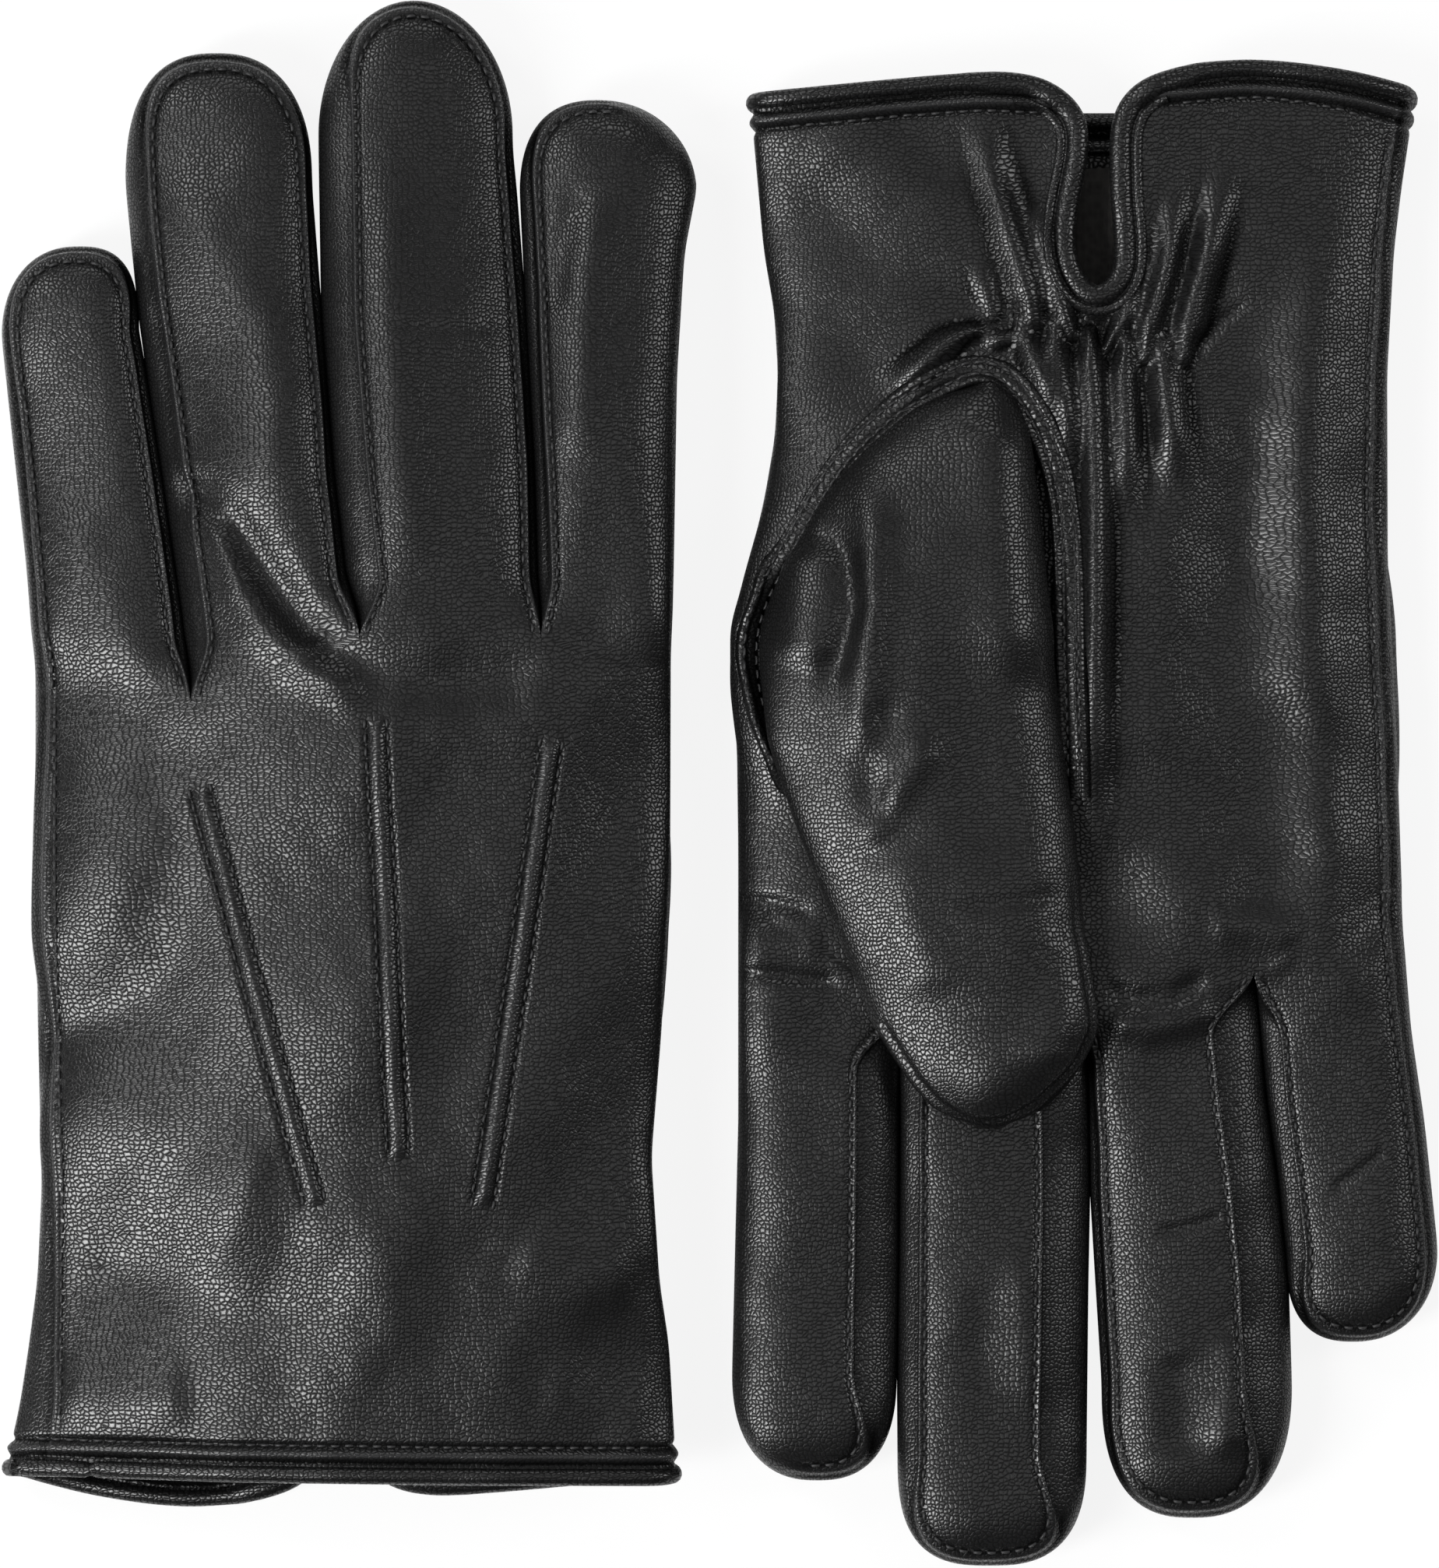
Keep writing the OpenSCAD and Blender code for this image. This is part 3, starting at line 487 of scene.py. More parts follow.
def palmRelief(x, y, plan):
    sunk, raised = aroundThumb(x, y, plan)
    return foldRelief(x, y, palmFolds) + slackRelief(x, y, plan["seed"] + 1) + sunk + raised


# a seam, by the distance inside its strip: a raised lip, a ditch beside it and the stitch line, with painted
# shade in the ditch and along the stitch line
seam = {"lift": [(0.34, 0.45, 0.38), (-0.42, -0.4, 0.42), (-0.22, 1.2, 0.34)], "worn": [(1.0, 0.3, 0.42)],
        "shade": [(1.0, -0.4, 0.5), (0.7, 1.2, 0.36)], "row": 1.2, "tip": 0.7, "tipShare": 0.9}
sideSeam = {"worn": [(1.0, 0.35, 0.4)], "shade": [(1.0, -0.35, 0.5)], "from": 5, "over": 3,
            "rows": (8, 123, 160)}
# the hem, by the distance from the cuff edge: a bead and the ditch of its stitches beside the binding, with
# painted shade in that ditch and in the groove by the binding
hem = {"lift": [(0.5, 2.9, 0.7), (-0.45, 4.4, 0.5), (-0.3, 1.6, 0.5)], "worn": [(0.7, 2.9, 0.5)],
       "shade": [(0.8, 4.4, 0.5), (1.0, 1.7, 0.5)], "row": 4.4, "edgesAt": 4.0,
       "inset": 4, "vent": (-13.0, 8.0), "places": (120, 80)}
# how soon each kind of relief runs out where a face turns to the side
turnOver = {"folds": (1.5, 0.25), "lines": (2.0, 0.0), "sideSeam": (2.5, 0.0)}


def bothFaces(facing, kind):  # how much of a kind of relief shows on the back and on the palm
    steep, start = turnOver[kind]
    return ease(facing * steep - start), ease(-facing * steep - start)


def seamInset(inset, share):  # the seam's distance from the outline, share 1 at the fingertip
    return mix(inset, seam["tip"], ease(share / seam["tipShare"]))


def borders(plan, lines, y, sewn):  # the strips' borders on one face, from the little side to the index side
    low, high = trace(plan["pinkyEdge"], y), trace(plan["indexEdge"], y)
    first = low + (trace(pinkySeam, y) if sewn else hand["pinkyInset"])
    return [first] + [trace(line, y, hand["lineReach"]) for line in lines] + [high - hand["foldInset"]]


backFace, indexSide, palmFace, littleSide = range(4)


def handColumns(plan):  # round the hand: face, strip, share across it, y at the fingers and y at the cuff
    across = crowdedEnds(cloth["strip"], cloth["crowded"])[:-1]
    turn = np.linspace(0, 1, cloth["side"] + 1)[:-1]
    first, last = plan["outerSplit"]
    backY = [first] + [c[1] for c in plan["crotchBack"]] + [last]
    palmY = [first] + [c[1] for c in plan["crotchPalm"]] + [last]
    backX, palmX = (np.array(borders(plan, lines, 0.0, True)) for lines in (backLines, palmLines))
    backCuff, palmCuff = trace(plan["cuffBack"], backX), trace(cuffPalm, palmX)
    columns = []

    def add(face, strip, share, split, cuff):
        columns.append(np.stack([np.full(len(share), face), np.full(len(share), strip), share, split, cuff]))

    for k in range(4):
        cuff = trace(plan["cuffBack"], mix(backX[k], backX[k + 1], across))
        add(backFace, k, across, mix(backY[k], backY[k + 1], across), cuff)
    add(indexSide, 4, 1 - 2 * turn, mix(backY[4], palmY[4], turn), mix(backCuff[4], palmCuff[4], turn))
    for k in (3, 2, 1, 0):
        cuff = trace(cuffPalm, mix(palmX[k + 1], palmX[k], across))
        add(palmFace, k, 1 - across, mix(palmY[k + 1], palmY[k], across), cuff)
    add(littleSide, 0, -1 + 2 * turn, mix(palmY[0], backY[0], turn), mix(palmCuff[0], backCuff[0], turn))
    return np.concatenate(columns, axis=1)


# the shade returned here is painted shade in the ditches of the seams, hem and points and in the pleats'
# valleys
def handRelief(x, y, facing, fromHem, fromEdge, plan):  # the leather's lift, how worn and how dark it is
    onBack, onPalm = bothFaces(facing, "folds")
    sewnBack, sewnPalm = bothFaces(facing, "sideSeam")
    lineBack, linePalm = bothFaces(facing, "lines")
    pleatLift, valley = pleatRelief(x, y)
    lift = backRelief(x, y, plan) * onBack + (palmRelief(x, y, plan) + pleatLift) * onPalm
    lift += bands(fromHem, hem["lift"])
    inBack, inPalm = fromEdge - trace(pinkySeam, y), fromEdge - hand["pinkyInset"]
    aboveHem = ease((y - sideSeam["from"]) / sideSeam["over"])
    lift += bands(inBack, seam["lift"]) * sewnBack * aboveHem
    lift += bands(inPalm, seam["lift"]) * sewnPalm * aboveHem
    marks = {}
    for kind in ("worn", "shade"):
        marks[kind] = bands(inBack, sideSeam[kind]) * sewnBack + bands(inPalm, sideSeam[kind]) * sewnPalm
        marks[kind] += bands(fromHem, hem[kind])
    for path in backPoints["paths"]:
        d, along = toPath(x, y, path)
        for kind in marks:
            marks[kind] += bands(d, backPoints[kind]) * lineBack * fadeEnds(along, backPoints["shadeEnds"])
    return lift, marks["worn"], marks["shade"] + valley * linePalm


def handGrid(plan):
    face, strip, share, split, cuff = handColumns(plan)
    stops = cloth["rows"]  # closest together where the wrist is gathered
    spans = [np.linspace(a[0], b[0], a[1], endpoint=False) for a, b in zip(stops, stops[1:])]
    rise = np.concatenate(spans + [[stops[-1][0]]]) / stops[-1][0]
    y = cuff[None, :] + (split - cuff)[None, :] * rise[:, None]
    low, high = trace(plan["pinkyEdge"], y), trace(plan["indexEdge"], y)
    middle, half = (low + high) / 2, (high - low) / 2
    back, palm = borders(plan, backLines, y, True), borders(plan, palmLines, y, False)
    x = np.zeros_like(y)
    up = np.zeros_like(y)
    for which, sign, lines in ((backFace, 1, back), (palmFace, -1, palm)):
        for k in range(4):
            on = (face == which) & (strip == k)
            x[:, on] = mix(lines[k][:, on], lines[k + 1][:, on], share[on][None, :])
        on = face == which
        up[:, on] = sign * crown(np.clip((x - middle) / half, -1, 1), hand["square"])[:, on]
    for which, sign, border in ((indexSide, 1, 4), (littleSide, -1, 0)):
        on = face == which
        uTop = np.abs((back[border] - middle) / half)[:, on]
        uLow = np.abs((palm[border] - middle) / half)[:, on]
        out, tall = sidePoints(np.repeat(share[on][None, :], len(y), 0), uTop, uLow, hand["square"])
        x[:, on] = middle[:, on] + sign * half[:, on] * out
        up[:, on] = tall
    base = np.stack([x, y, hand["middle"] + trace(hand["thick"], y) / 2 * up], 2)
    normal = gridNormals(base)
    lift, worn, shade = handRelief(x, y, normal[:, :, 2], y - cuff[None, :], x - low, plan)
    lean = np.clip((x - middle) / (hand["grainTurn"] * half), -1, 1)
    return base, base + normal * lift[:, :, None], np.stack([worn, lean, shade], 2)


def fingerLevels(shape, start):  # the rows up a finger, 0 at its root and 1 at its tip, closest at the tip
    tipY, shoulder = shape["tip"][1], shape["shoulder"]
    straight = np.arange(start, shoulder, cloth["fingerStep"])
    steps = int((tipY - shoulder) * cloth["tipTurn"] / cloth["tipStep"])
    bend = shoulder + (tipY - shoulder) * np.sin(np.linspace(0, math.pi / 2, steps + 1))
    return (np.concatenate([straight, bend[:-1], [tipY - cloth["tipGap"]]]) - start) / (tipY - start)


def fingerGrid(shape, rootBase, rootShaped, plan):
    nS, nF = cloth["strip"], cloth["side"]
    q = crowdedEnds(nS, cloth["crowded"])
    s = np.linspace(1, -1, nF + 1)[1:-1]
    tipX, tipY = shape["tip"]
    shoulder, tipBend = shape["shoulder"], shape["round"]
    rootY = rootBase[None, :, 1]
    rise = fingerLevels(shape, float(np.mean(rootBase[:, 1])))
    y = rootY + (tipY - rootY) * rise[:, None]
    fromRoot = y - rootY
    at = np.minimum(y, shoulder + finger["edgeEnd"])
    low, high = trace(shape["low"], at), trace(shape["high"], at)
    share = np.clip((y - shoulder) / (tipY - shoulder), 0, 1)
    half0 = (high - low) / 2
    middle = mix((low + high) / 2, tipX, share ** 2)
    narrow = np.maximum(1 - share ** tipBend, 1e-6)
    half = half0 * narrow ** (1 / tipBend)
    thinner = np.clip((y - finger["thinFrom"]) / (tipY - finger["thinFrom"]), 0, 1)
    tall = mix(finger["thick"], finger["tipThick"], thinner)
    tall = tall * roundEnd((y - tipY + finger["tipRound"]) / finger["tipRound"], finger["tipPower"], 1e-6)
    settle = ease(fromRoot / finger["settle"])
    backSquare, palmSquare = mix(*finger["back"], settle), mix(*finger["palm"], settle)

    def edgeU(inset):  # where a seam crosses each section, as a share of its half width
        rho = 1 - seamInset(inset, share) / half0
        inside = np.maximum(rho ** tipBend - share ** tipBend, finger["leastInside"] ** tipBend * narrow)
        return (inside / narrow) ** (1 / tipBend)

    backLow, backHigh = (edgeU(i) for i in shape["back"])
    palmLow, palmHigh = (edgeU(i) for i in shape["palm"])
    u = np.zeros_like(y)
    up = np.zeros_like(y)
    a, b = nS + 1, nS + nF
    c = b + nS + 1
    u[:, :a] = mix(-backLow[:, :a], backHigh[:, :a], q[None, :])
    up[:, :a] = crown(u[:, :a], backSquare[:, :a])
    ones = np.ones((len(y), 1))
    square = np.where(s[None, :] >= 0, backSquare[:, a:b], palmSquare[:, a:b])
    u[:, a:b], up[:, a:b] = sidePoints(ones * s, backHigh[:, a:b], palmHigh[:, a:b], square)
    u[:, b:c] = mix(palmHigh[:, b:c], -palmLow[:, b:c], q[None, :])
    up[:, b:c] = -crown(u[:, b:c], palmSquare[:, b:c])
    square = np.where(-s[None, :] >= 0, backSquare[:, c:], palmSquare[:, c:])
    sideOut, up[:, c:] = sidePoints(ones * -s, backLow[:, c:], palmLow[:, c:], square)
    u[:, c:] = -sideOut
    section = np.stack([middle + half * u, y, hand["middle"] + tall / 2 * up], 2)
    base = mix(rootBase[None, :, :], section, ease(fromRoot / finger["rootBlend"])[:, :, None])
    base[:, :, 1] = y
    normal = gridNormals(base)
    x = base[:, :, 0]
    # how far inside the outline each point lies, seen from above
    ratio = np.abs(x - middle) / half0
    depth = half0 * (1 - (ratio ** tipBend + share ** tipBend) ** (1 / tipBend))
    lowSide = x < middle

    def seams(insets, columns):  # lift, wear and shade of one face's seams
        away = depth - seamInset(np.where(lowSide, insets[0], insets[1]), share)
        # near the crotch the seam is the strip's own border
        strip = x[:, columns]
        ends = np.sort(strip[:, [0, -1]], axis=1)
        border = np.where(lowSide[:, columns], strip - ends[:, :1], ends[:, 1:] - strip)
        beyond = ease((fromRoot[:, columns] - finger["seamFrom"]) / finger["seamOver"])
        away[:, columns] = mix(border, away[:, columns], beyond)
        sew = np.where(lowSide, shape["sewn"][0], shape["sewn"][1])
        if shape["sewn"][1] == 0:  # the index side is a fold: its seam runs out beyond the tip
            over = finger["foldedOver"]
            sew = np.where(share > finger["foldedTip"], ease((tipX + over - x) / over), sew)
        sew = sew * ease(fromRoot / finger["sewnFrom"])
        return [bands(away, seam[kind]) * sew for kind in ("lift", "worn", "shade")]

    # a filled finger lies smoother than the hand
    uneven = mix(slack["hand"], slack["finger"], ease(fromRoot / slack["fingerFrom"]))
    onBack, onPalm = bothFaces(normal[:, :, 2], "folds")
    lineBack, linePalm = bothFaces(normal[:, :, 2], "lines")
    backSeam, backWorn, backShade = seams(shape["back"], slice(0, a))
    palmSeam, palmWorn, palmShade = seams(shape["palm"], slice(b, c))
    shade = backShade * lineBack + palmShade * linePalm
    worn = backWorn * lineBack + finger["palmWorn"] * palmWorn * linePalm
    backLift = foldRelief(x, y, backFolds) + slackRelief(x, y, plan["seed"], uneven)
    palmLift = foldRelief(x, y, palmFolds) + slackRelief(x, y, plan["seed"] + 1, uneven)
    lift = backLift * onBack + backSeam * lineBack
    lift += palmLift * onPalm + finger["palmSeam"] * palmSeam * linePalm
    lift *= ease((tipY - y) / finger["tipSmooth"])
    fromHand = ease(fromRoot / finger["reliefFrom"])[:, :, None]
    grid = base + mix((rootShaped - rootBase)[None, :, :], normal * lift[:, :, None], fromHand)
    grid[0] = rootShaped
    lean = np.clip((x - middle) / (hand["grainTurn"] * half0), -1, 1)
    return grid, np.stack([worn, lean, shade], 2)


def ringFaces(rows, count, base=0):
    j, i = np.meshgrid(np.arange(rows - 1), np.arange(count), indexing="ij")
    a = base + j * count + i
    b = base + j * count + (i + 1) % count
    return np.stack([a, b, b + count, a + count], 2).reshape(-1, 4)


def lidFaces(ring):  # a ring of points shut by strips across it
    n = len(ring)
    return [[ring[i], ring[i + 1], ring[n - 2 - i], ring[n - 1 - i]] for i in range(n // 2 - 1)]


def closedTube(rows, count):  # rings of points, shut at both ends
    first = [quad[::-1] for quad in lidFaces(np.arange(count))]
    last = lidFaces((rows - 1) * count + np.arange(count))
    return np.concatenate([ringFaces(rows, count), first, last])


def openVent(points, quads, draped=False):  # leaves out the palm's faces inside the vent
    x, y, z = points[quads].mean(1).T
    level = z - drape(x, y) if draped else z
    return quads[~(insideOf(x, y, ventHole) & (level < hand["middle"]))]


def gloveLeather(plan):
    nS, nF = cloth["strip"], cloth["side"]
    base, grid, worn = handGrid(plan)
    # wear gathers each point's edge wear, the grain's lean and its painted shade
    wear = [worn.reshape(-1, 3)]
    rows, count = grid.shape[:2]
    last = (rows - 1) * count
    palmStart = last + 4 * nS + nF
    vertices, plain = [grid.reshape(-1, 3)], [base.reshape(-1, 3)]
    faces = {"hand": openVent(vertices[0], ringFaces(rows, count))}
    total = rows * count
    # the lines between two fingers, from the back to the palm
    gaps = []
    t = np.linspace(0, 1, nF + 1)[1:-1, None]
    for k in range(3):
        top, low = last + (k + 1) * nS, palmStart + (3 - k) * nS
        for store in (vertices, plain):
            line = mix(store[0][top], store[0][low], t)
            line[:, 1] -= hand["crotchDip"] * np.sin(np.pi * t[:, 0])
            store.append(line)
        # the lines between two fingers are fully darkened with painted shade
        wear.append(np.tile([0.0, 0.0, 1.0], (nF - 1, 1)))
        gaps.append(np.arange(total, total + nF - 1))
        total += nF - 1
    flat, flatBase = np.concatenate(vertices), np.concatenate(plain)
    for k, name in enumerate(fingerNames):
        backStrip = last + np.arange(k * nS, (k + 1) * nS + 1)
        palmStrip = palmStart + np.arange((3 - k) * nS, (4 - k) * nS + 1)
        highSide = gaps[k] if k < 3 else last + 4 * nS + np.arange(1, nF)
        lowSide = gaps[k - 1][::-1] if k > 0 else palmStart + 4 * nS + np.arange(1, nF)
        ring = np.concatenate([backStrip, highSide, palmStrip, lowSide])
        shape, worn = fingerGrid(plan["fingers"][name], flatBase[ring], flat[ring], plan)
        wear.append(worn[1:].reshape(-1, 3))
        n = len(ring)
        body = shape[1:].reshape(-1, 3)
        first = np.stack([ring, np.roll(ring, -1), total + (np.arange(n) + 1) % n, total + np.arange(n)], 1)
        rest = ringFaces(len(shape) - 1, n, total)
        faces[name] = np.concatenate([first, rest, lidFaces(total + len(body) - n + np.arange(n))])
        vertices.append(body)
        total += len(body)
    return np.concatenate(vertices), faces, base, np.concatenate(wear)


def vertexNormals(allPoints, quads):
    a, b, c, d = (allPoints[quads[:, i]] for i in range(4))
    flat = np.cross(c - a, d - b)
    normal = np.zeros_like(allPoints)
    for i in range(4):
        np.add.at(normal, quads[:, i], flat)
    return unit(normal, 1e-12)


def toPlace(place, side):  # glove frame in millimetres to the shared frame in metres
    place = np.asarray(place, float)
    return (place + np.array(pair["leftAt"]) if side == "left" else np.array(pair["rightAt"]) - place) * mm


def makePiece(name, allPoints, quads, side, material, normals=None, wear=None, grain=None):
    used, renamed = np.unique(quads, return_inverse=True)
    quads = renamed.reshape(quads.shape)
    if side == "right":
        quads = quads[:, ::-1]
    places = toPlace(allPoints[used], side)
    places[:, 2] = np.maximum(places[:, 2], pair["floor"] * mm)
    mesh = bpy.data.meshes.new(name)
    mesh.from_pydata(places.tolist(), [], quads.tolist())
    grain = (allPoints if grain is None else grain)[used] + (0.0 if side == "left" else pair["grainShift"])
    grainAt = mesh.attributes.new("grainAt", "FLOAT_VECTOR", "POINT")
    grainAt.data.foreach_set("vector", grain.astype(np.float32).ravel())
    # edge wear and painted shade go to the piece as point attributes
    if wear is not None:
        for k, label in enumerate(("edgeWear", "seamShade")):
            layer = mesh.attributes.new(label, "FLOAT", "POINT")
            layer.data.foreach_set("value", np.clip(wear[used, k], 0, 1).astype(np.float32))
    mesh.polygons.foreach_set("use_smooth", np.ones(len(mesh.polygons), bool))
    mesh.materials.append(material)
    if normals is not None:
        turned = normals[used] * (1 if side == "left" else -1)
        mesh.normals_split_custom_set_from_vertices(turned.tolist())
    mesh.update()
    piece = bpy.data.objects.new(name, mesh)
    bpy.context.scene.collection.objects.link(piece)
    return piece


def sweep(path, normals, profile, closed, full=1.0):  # a band along a line: profile is (across, up) pairs
    ahead = np.roll(path, -1, axis=0) - np.roll(path, 1, axis=0)
    if not closed:
        ahead[0], ahead[-1] = path[1] - path[0], path[-1] - path[-2]
    ahead = unit(ahead)
    up = unit(normals - ahead * np.sum(normals * ahead, axis=1, keepdims=True))
    across = np.cross(ahead, up) * np.reshape(full, (-1, 1))
    profile = np.array(profile, float)
    out, high = profile[None, :, :1], profile[None, :, 1:]
    ring = path[:, None, :] + across[:, None, :] * out + up[:, None, :] * high
    n, m = len(path), len(profile)
    j, i = np.meshgrid(np.arange(n if closed else n - 1), np.arange(m), indexing="ij")
    a, b = j * m + i, j * m + (i + 1) % m
    c, d = ((j + 1) % n) * m + (i + 1) % m, ((j + 1) % n) * m + i
    return ring.reshape(-1, 3), np.stack([a, d, c, b], 2).reshape(-1, 4)


def roundProfile(wide, tall, count=14):
    turn = np.linspace(0, 2 * math.pi, count, endpoint=False)
    return [(wide * math.cos(t), tall * math.sin(t)) for t in turn]


# how often each line is smoothed along its length
smoothing = {"lips": 6, "cuffUp": 6, "cuff": 3, "full": 8, "bead": 5, "beadUp": 8, "welt": 40, "weltUp": 60,
             "fingerRow": 4, "elastic": 20}


def smoothAlong(values, kind, closed=False):
    for i in range(smoothing[kind]):
        before, after = np.roll(values, 1, axis=0), np.roll(values, -1, axis=0)
        if not closed:
            before[0], after[-1] = values[0], values[-1]
        values = (before + 2 * values + after) / 4
    return values


class Skin:  # finds places on a glove's leather from above the back or below the palm
    rays = {"back": (90.0, (0, 0, -1)), "palm": (-60.0, (0, 0, 1))}

    def __init__(self, allPoints, quads):
        self.tree = BVHTree.FromPolygons(allPoints.tolist(), quads.tolist())

    def drop(self, line, face):
        height, way = self.rays[face]
        found, normals = [], []
        for x, y in line:
            place, normal = self.tree.ray_cast((x, y, height), way)[:2]
            if place is None:
                place, normal = self.tree.find_nearest((x, y, hand["middle"]))[:2]
            if normal.dot(way) > 0:
                normal = -normal
            found.append(place[:])
            normals.append(normal[:])
        return np.array(found), np.array(normals)


# the thread: length of one stitch, space to the next, thickness, and five places along it with their heights
stitch = {"long": 1.6, "pitch": 2.25, "start": 0.3, "thick": 0.25, "sides": 6, "lift": 0.02,
          "pointLift": 0.05, "shares": [0.0, 0.15, 0.5, 0.85, 1.0], "rise": [-0.3, 0.12, 0.16, 0.12, -0.3],
          "full": [0.55, 1.0, 1.1, 1.0, 0.55]}


def stitchRow(skin, line, face, lift=stitch["lift"]):  # stitches along a plan line, laid on the leather
    sizes = np.concatenate([[0], np.cumsum(np.linalg.norm(np.diff(line, axis=0), axis=1))])
    starts = np.arange(stitch["start"], sizes[-1] - stitch["long"], stitch["pitch"])
    along = np.array(stitch["shares"]) * stitch["long"]
    stops = (starts[:, None] + along[None, :]).ravel()
    places = np.stack([np.interp(stops, sizes, line[:, 0]), np.interp(stops, sizes, line[:, 1])], 1)
    found, normals = skin.drop(places, face)
    rise = np.tile(stitch["rise"], len(starts)) + lift
    found = found + normals * rise[:, None]
    return threadBars(found.reshape(-1, 5, 3), normals.reshape(-1, 5, 3))


def threadBars(lines, normals):
    sides = stitch["sides"]
    ahead = unit(lines[:, -1] - lines[:, 0])
    across = unit(np.cross(ahead, normals[:, 2]))
    up = np.cross(across, ahead)
    thick = np.array(stitch["full"]) * stitch["thick"]
    turn = np.linspace(0, 2 * math.pi, sides, endpoint=False)[:, None]
    ring = across[:, None, None, :] * np.cos(turn) + up[:, None, None, :] * np.sin(turn)
    places = lines[:, :, None, :] + ring * thick[None, :, None, None]
    lids = np.array([[0, 1, 2, 3], [0, 3, 4, 5]])
    single = np.concatenate([ringFaces(5, sides)[:, ::-1], lids, lids[:, ::-1] + 4 * sides])
    faces = (single[None, :, :] + (np.arange(len(lines)) * 5 * sides)[:, None, None]).reshape(-1, 4)
    return places.reshape(-1, 3), faces


def gather(parts):  # several point and face lists as one
    places, faces, total = [], [], 0
    for p, f in parts:
        places.append(p)
        faces.append(f + total)
        total += len(p)
    return np.concatenate(places), np.concatenate(faces)


nodeSettings = ("operation", "blend_type", "feature", "attribute_name", "voronoi_dimensions",
                "bands_direction")


def node(tree, kind, feeds=None, **values):  # a shader node: feeds gives its sockets a link or a value
    made = tree.nodes.new(kind)
    for name, value in values.items():
        if name in nodeSettings:
            setattr(made, name, value)
        else:
            made.inputs[name.replace("_", " ")].default_value = value
    for socket, source in (feeds or {}).items():
        if isinstance(source, (float, tuple)):
            made.inputs[socket].default_value = source
        else:
            tree.links.new(source, made.inputs[socket])
    return made


def sums(tree, how, *terms):  # a math node's result
    return node(tree, "ShaderNodeMath", dict(enumerate(terms)), operation=how).outputs["Value"]


def mixed(tree, share, first, second, how="MIX"):  # one colour over another
    feeds = {"Fac": share, "Color1": first, "Color2": second}
    return node(tree, "ShaderNodeMixRGB", feeds, blend_type=how).outputs["Color"]


def noise(tree, at, size, detail, rough=0.5):
    return node(tree, "ShaderNodeTexNoise", {"Vector": at}, Scale=size, Detail=detail, Roughness=rough)


def startMaterial(name):  # the material, its nodes, its shader and where on the piece each point lies
    material = bpy.data.materials.new(name)
    material.use_nodes = True
    tree = material.node_tree
    at = node(tree, "ShaderNodeAttribute", attribute_name="grainAt").outputs["Vector"]
    return material, tree, tree.nodes["Principled BSDF"], at


def setShader(tree, shader, height, strength, depth, **inputs):  # bumps, and the shader's other inputs
    bump = node(tree, "ShaderNodeBump", {"Height": height}, Strength=strength, Distance=depth * mm)
    tree.links.new(bump.outputs["Normal"], shader.inputs["Normal"])
    for name, source in inputs.items():
        socket = shader.inputs[name.replace("_", " ")]
        if isinstance(source, float):
            socket.default_value = source
        else:
            tree.links.new(source, socket)


# black dress leather: pebble size in millimetres, depth of the grain, gloss, and the painted shade between
# the pebbles and in the ditches
leatherLook = {"colour": (0.0055, 0.0055, 0.0057), "worn": (0.0100, 0.0100, 0.0102), "wear": 0.05,
               "edge": (0.018, 0.018, 0.0185, 1.0), "ditch": (0.001, 0.001, 0.001, 1.0), "pebbleShade": 0.8,
               "pebble": 0.84, "warp": 0.55, "shift": (0.8, 0.8, 0.8), "stretch": (0.92, 1.2, 1.0),
               "uneven": 0.8, "flank": 0.42, "fine": 3.2, "fineRough": 0.6, "fineShare": 0.10,
               "grainDepth": 0.044, "bump": 1.0, "rough": (0.45, 0.25), "shine": (0.08, 0.55),
               "shadedGleam": (1.0, 0.2), "binding": 0.9}


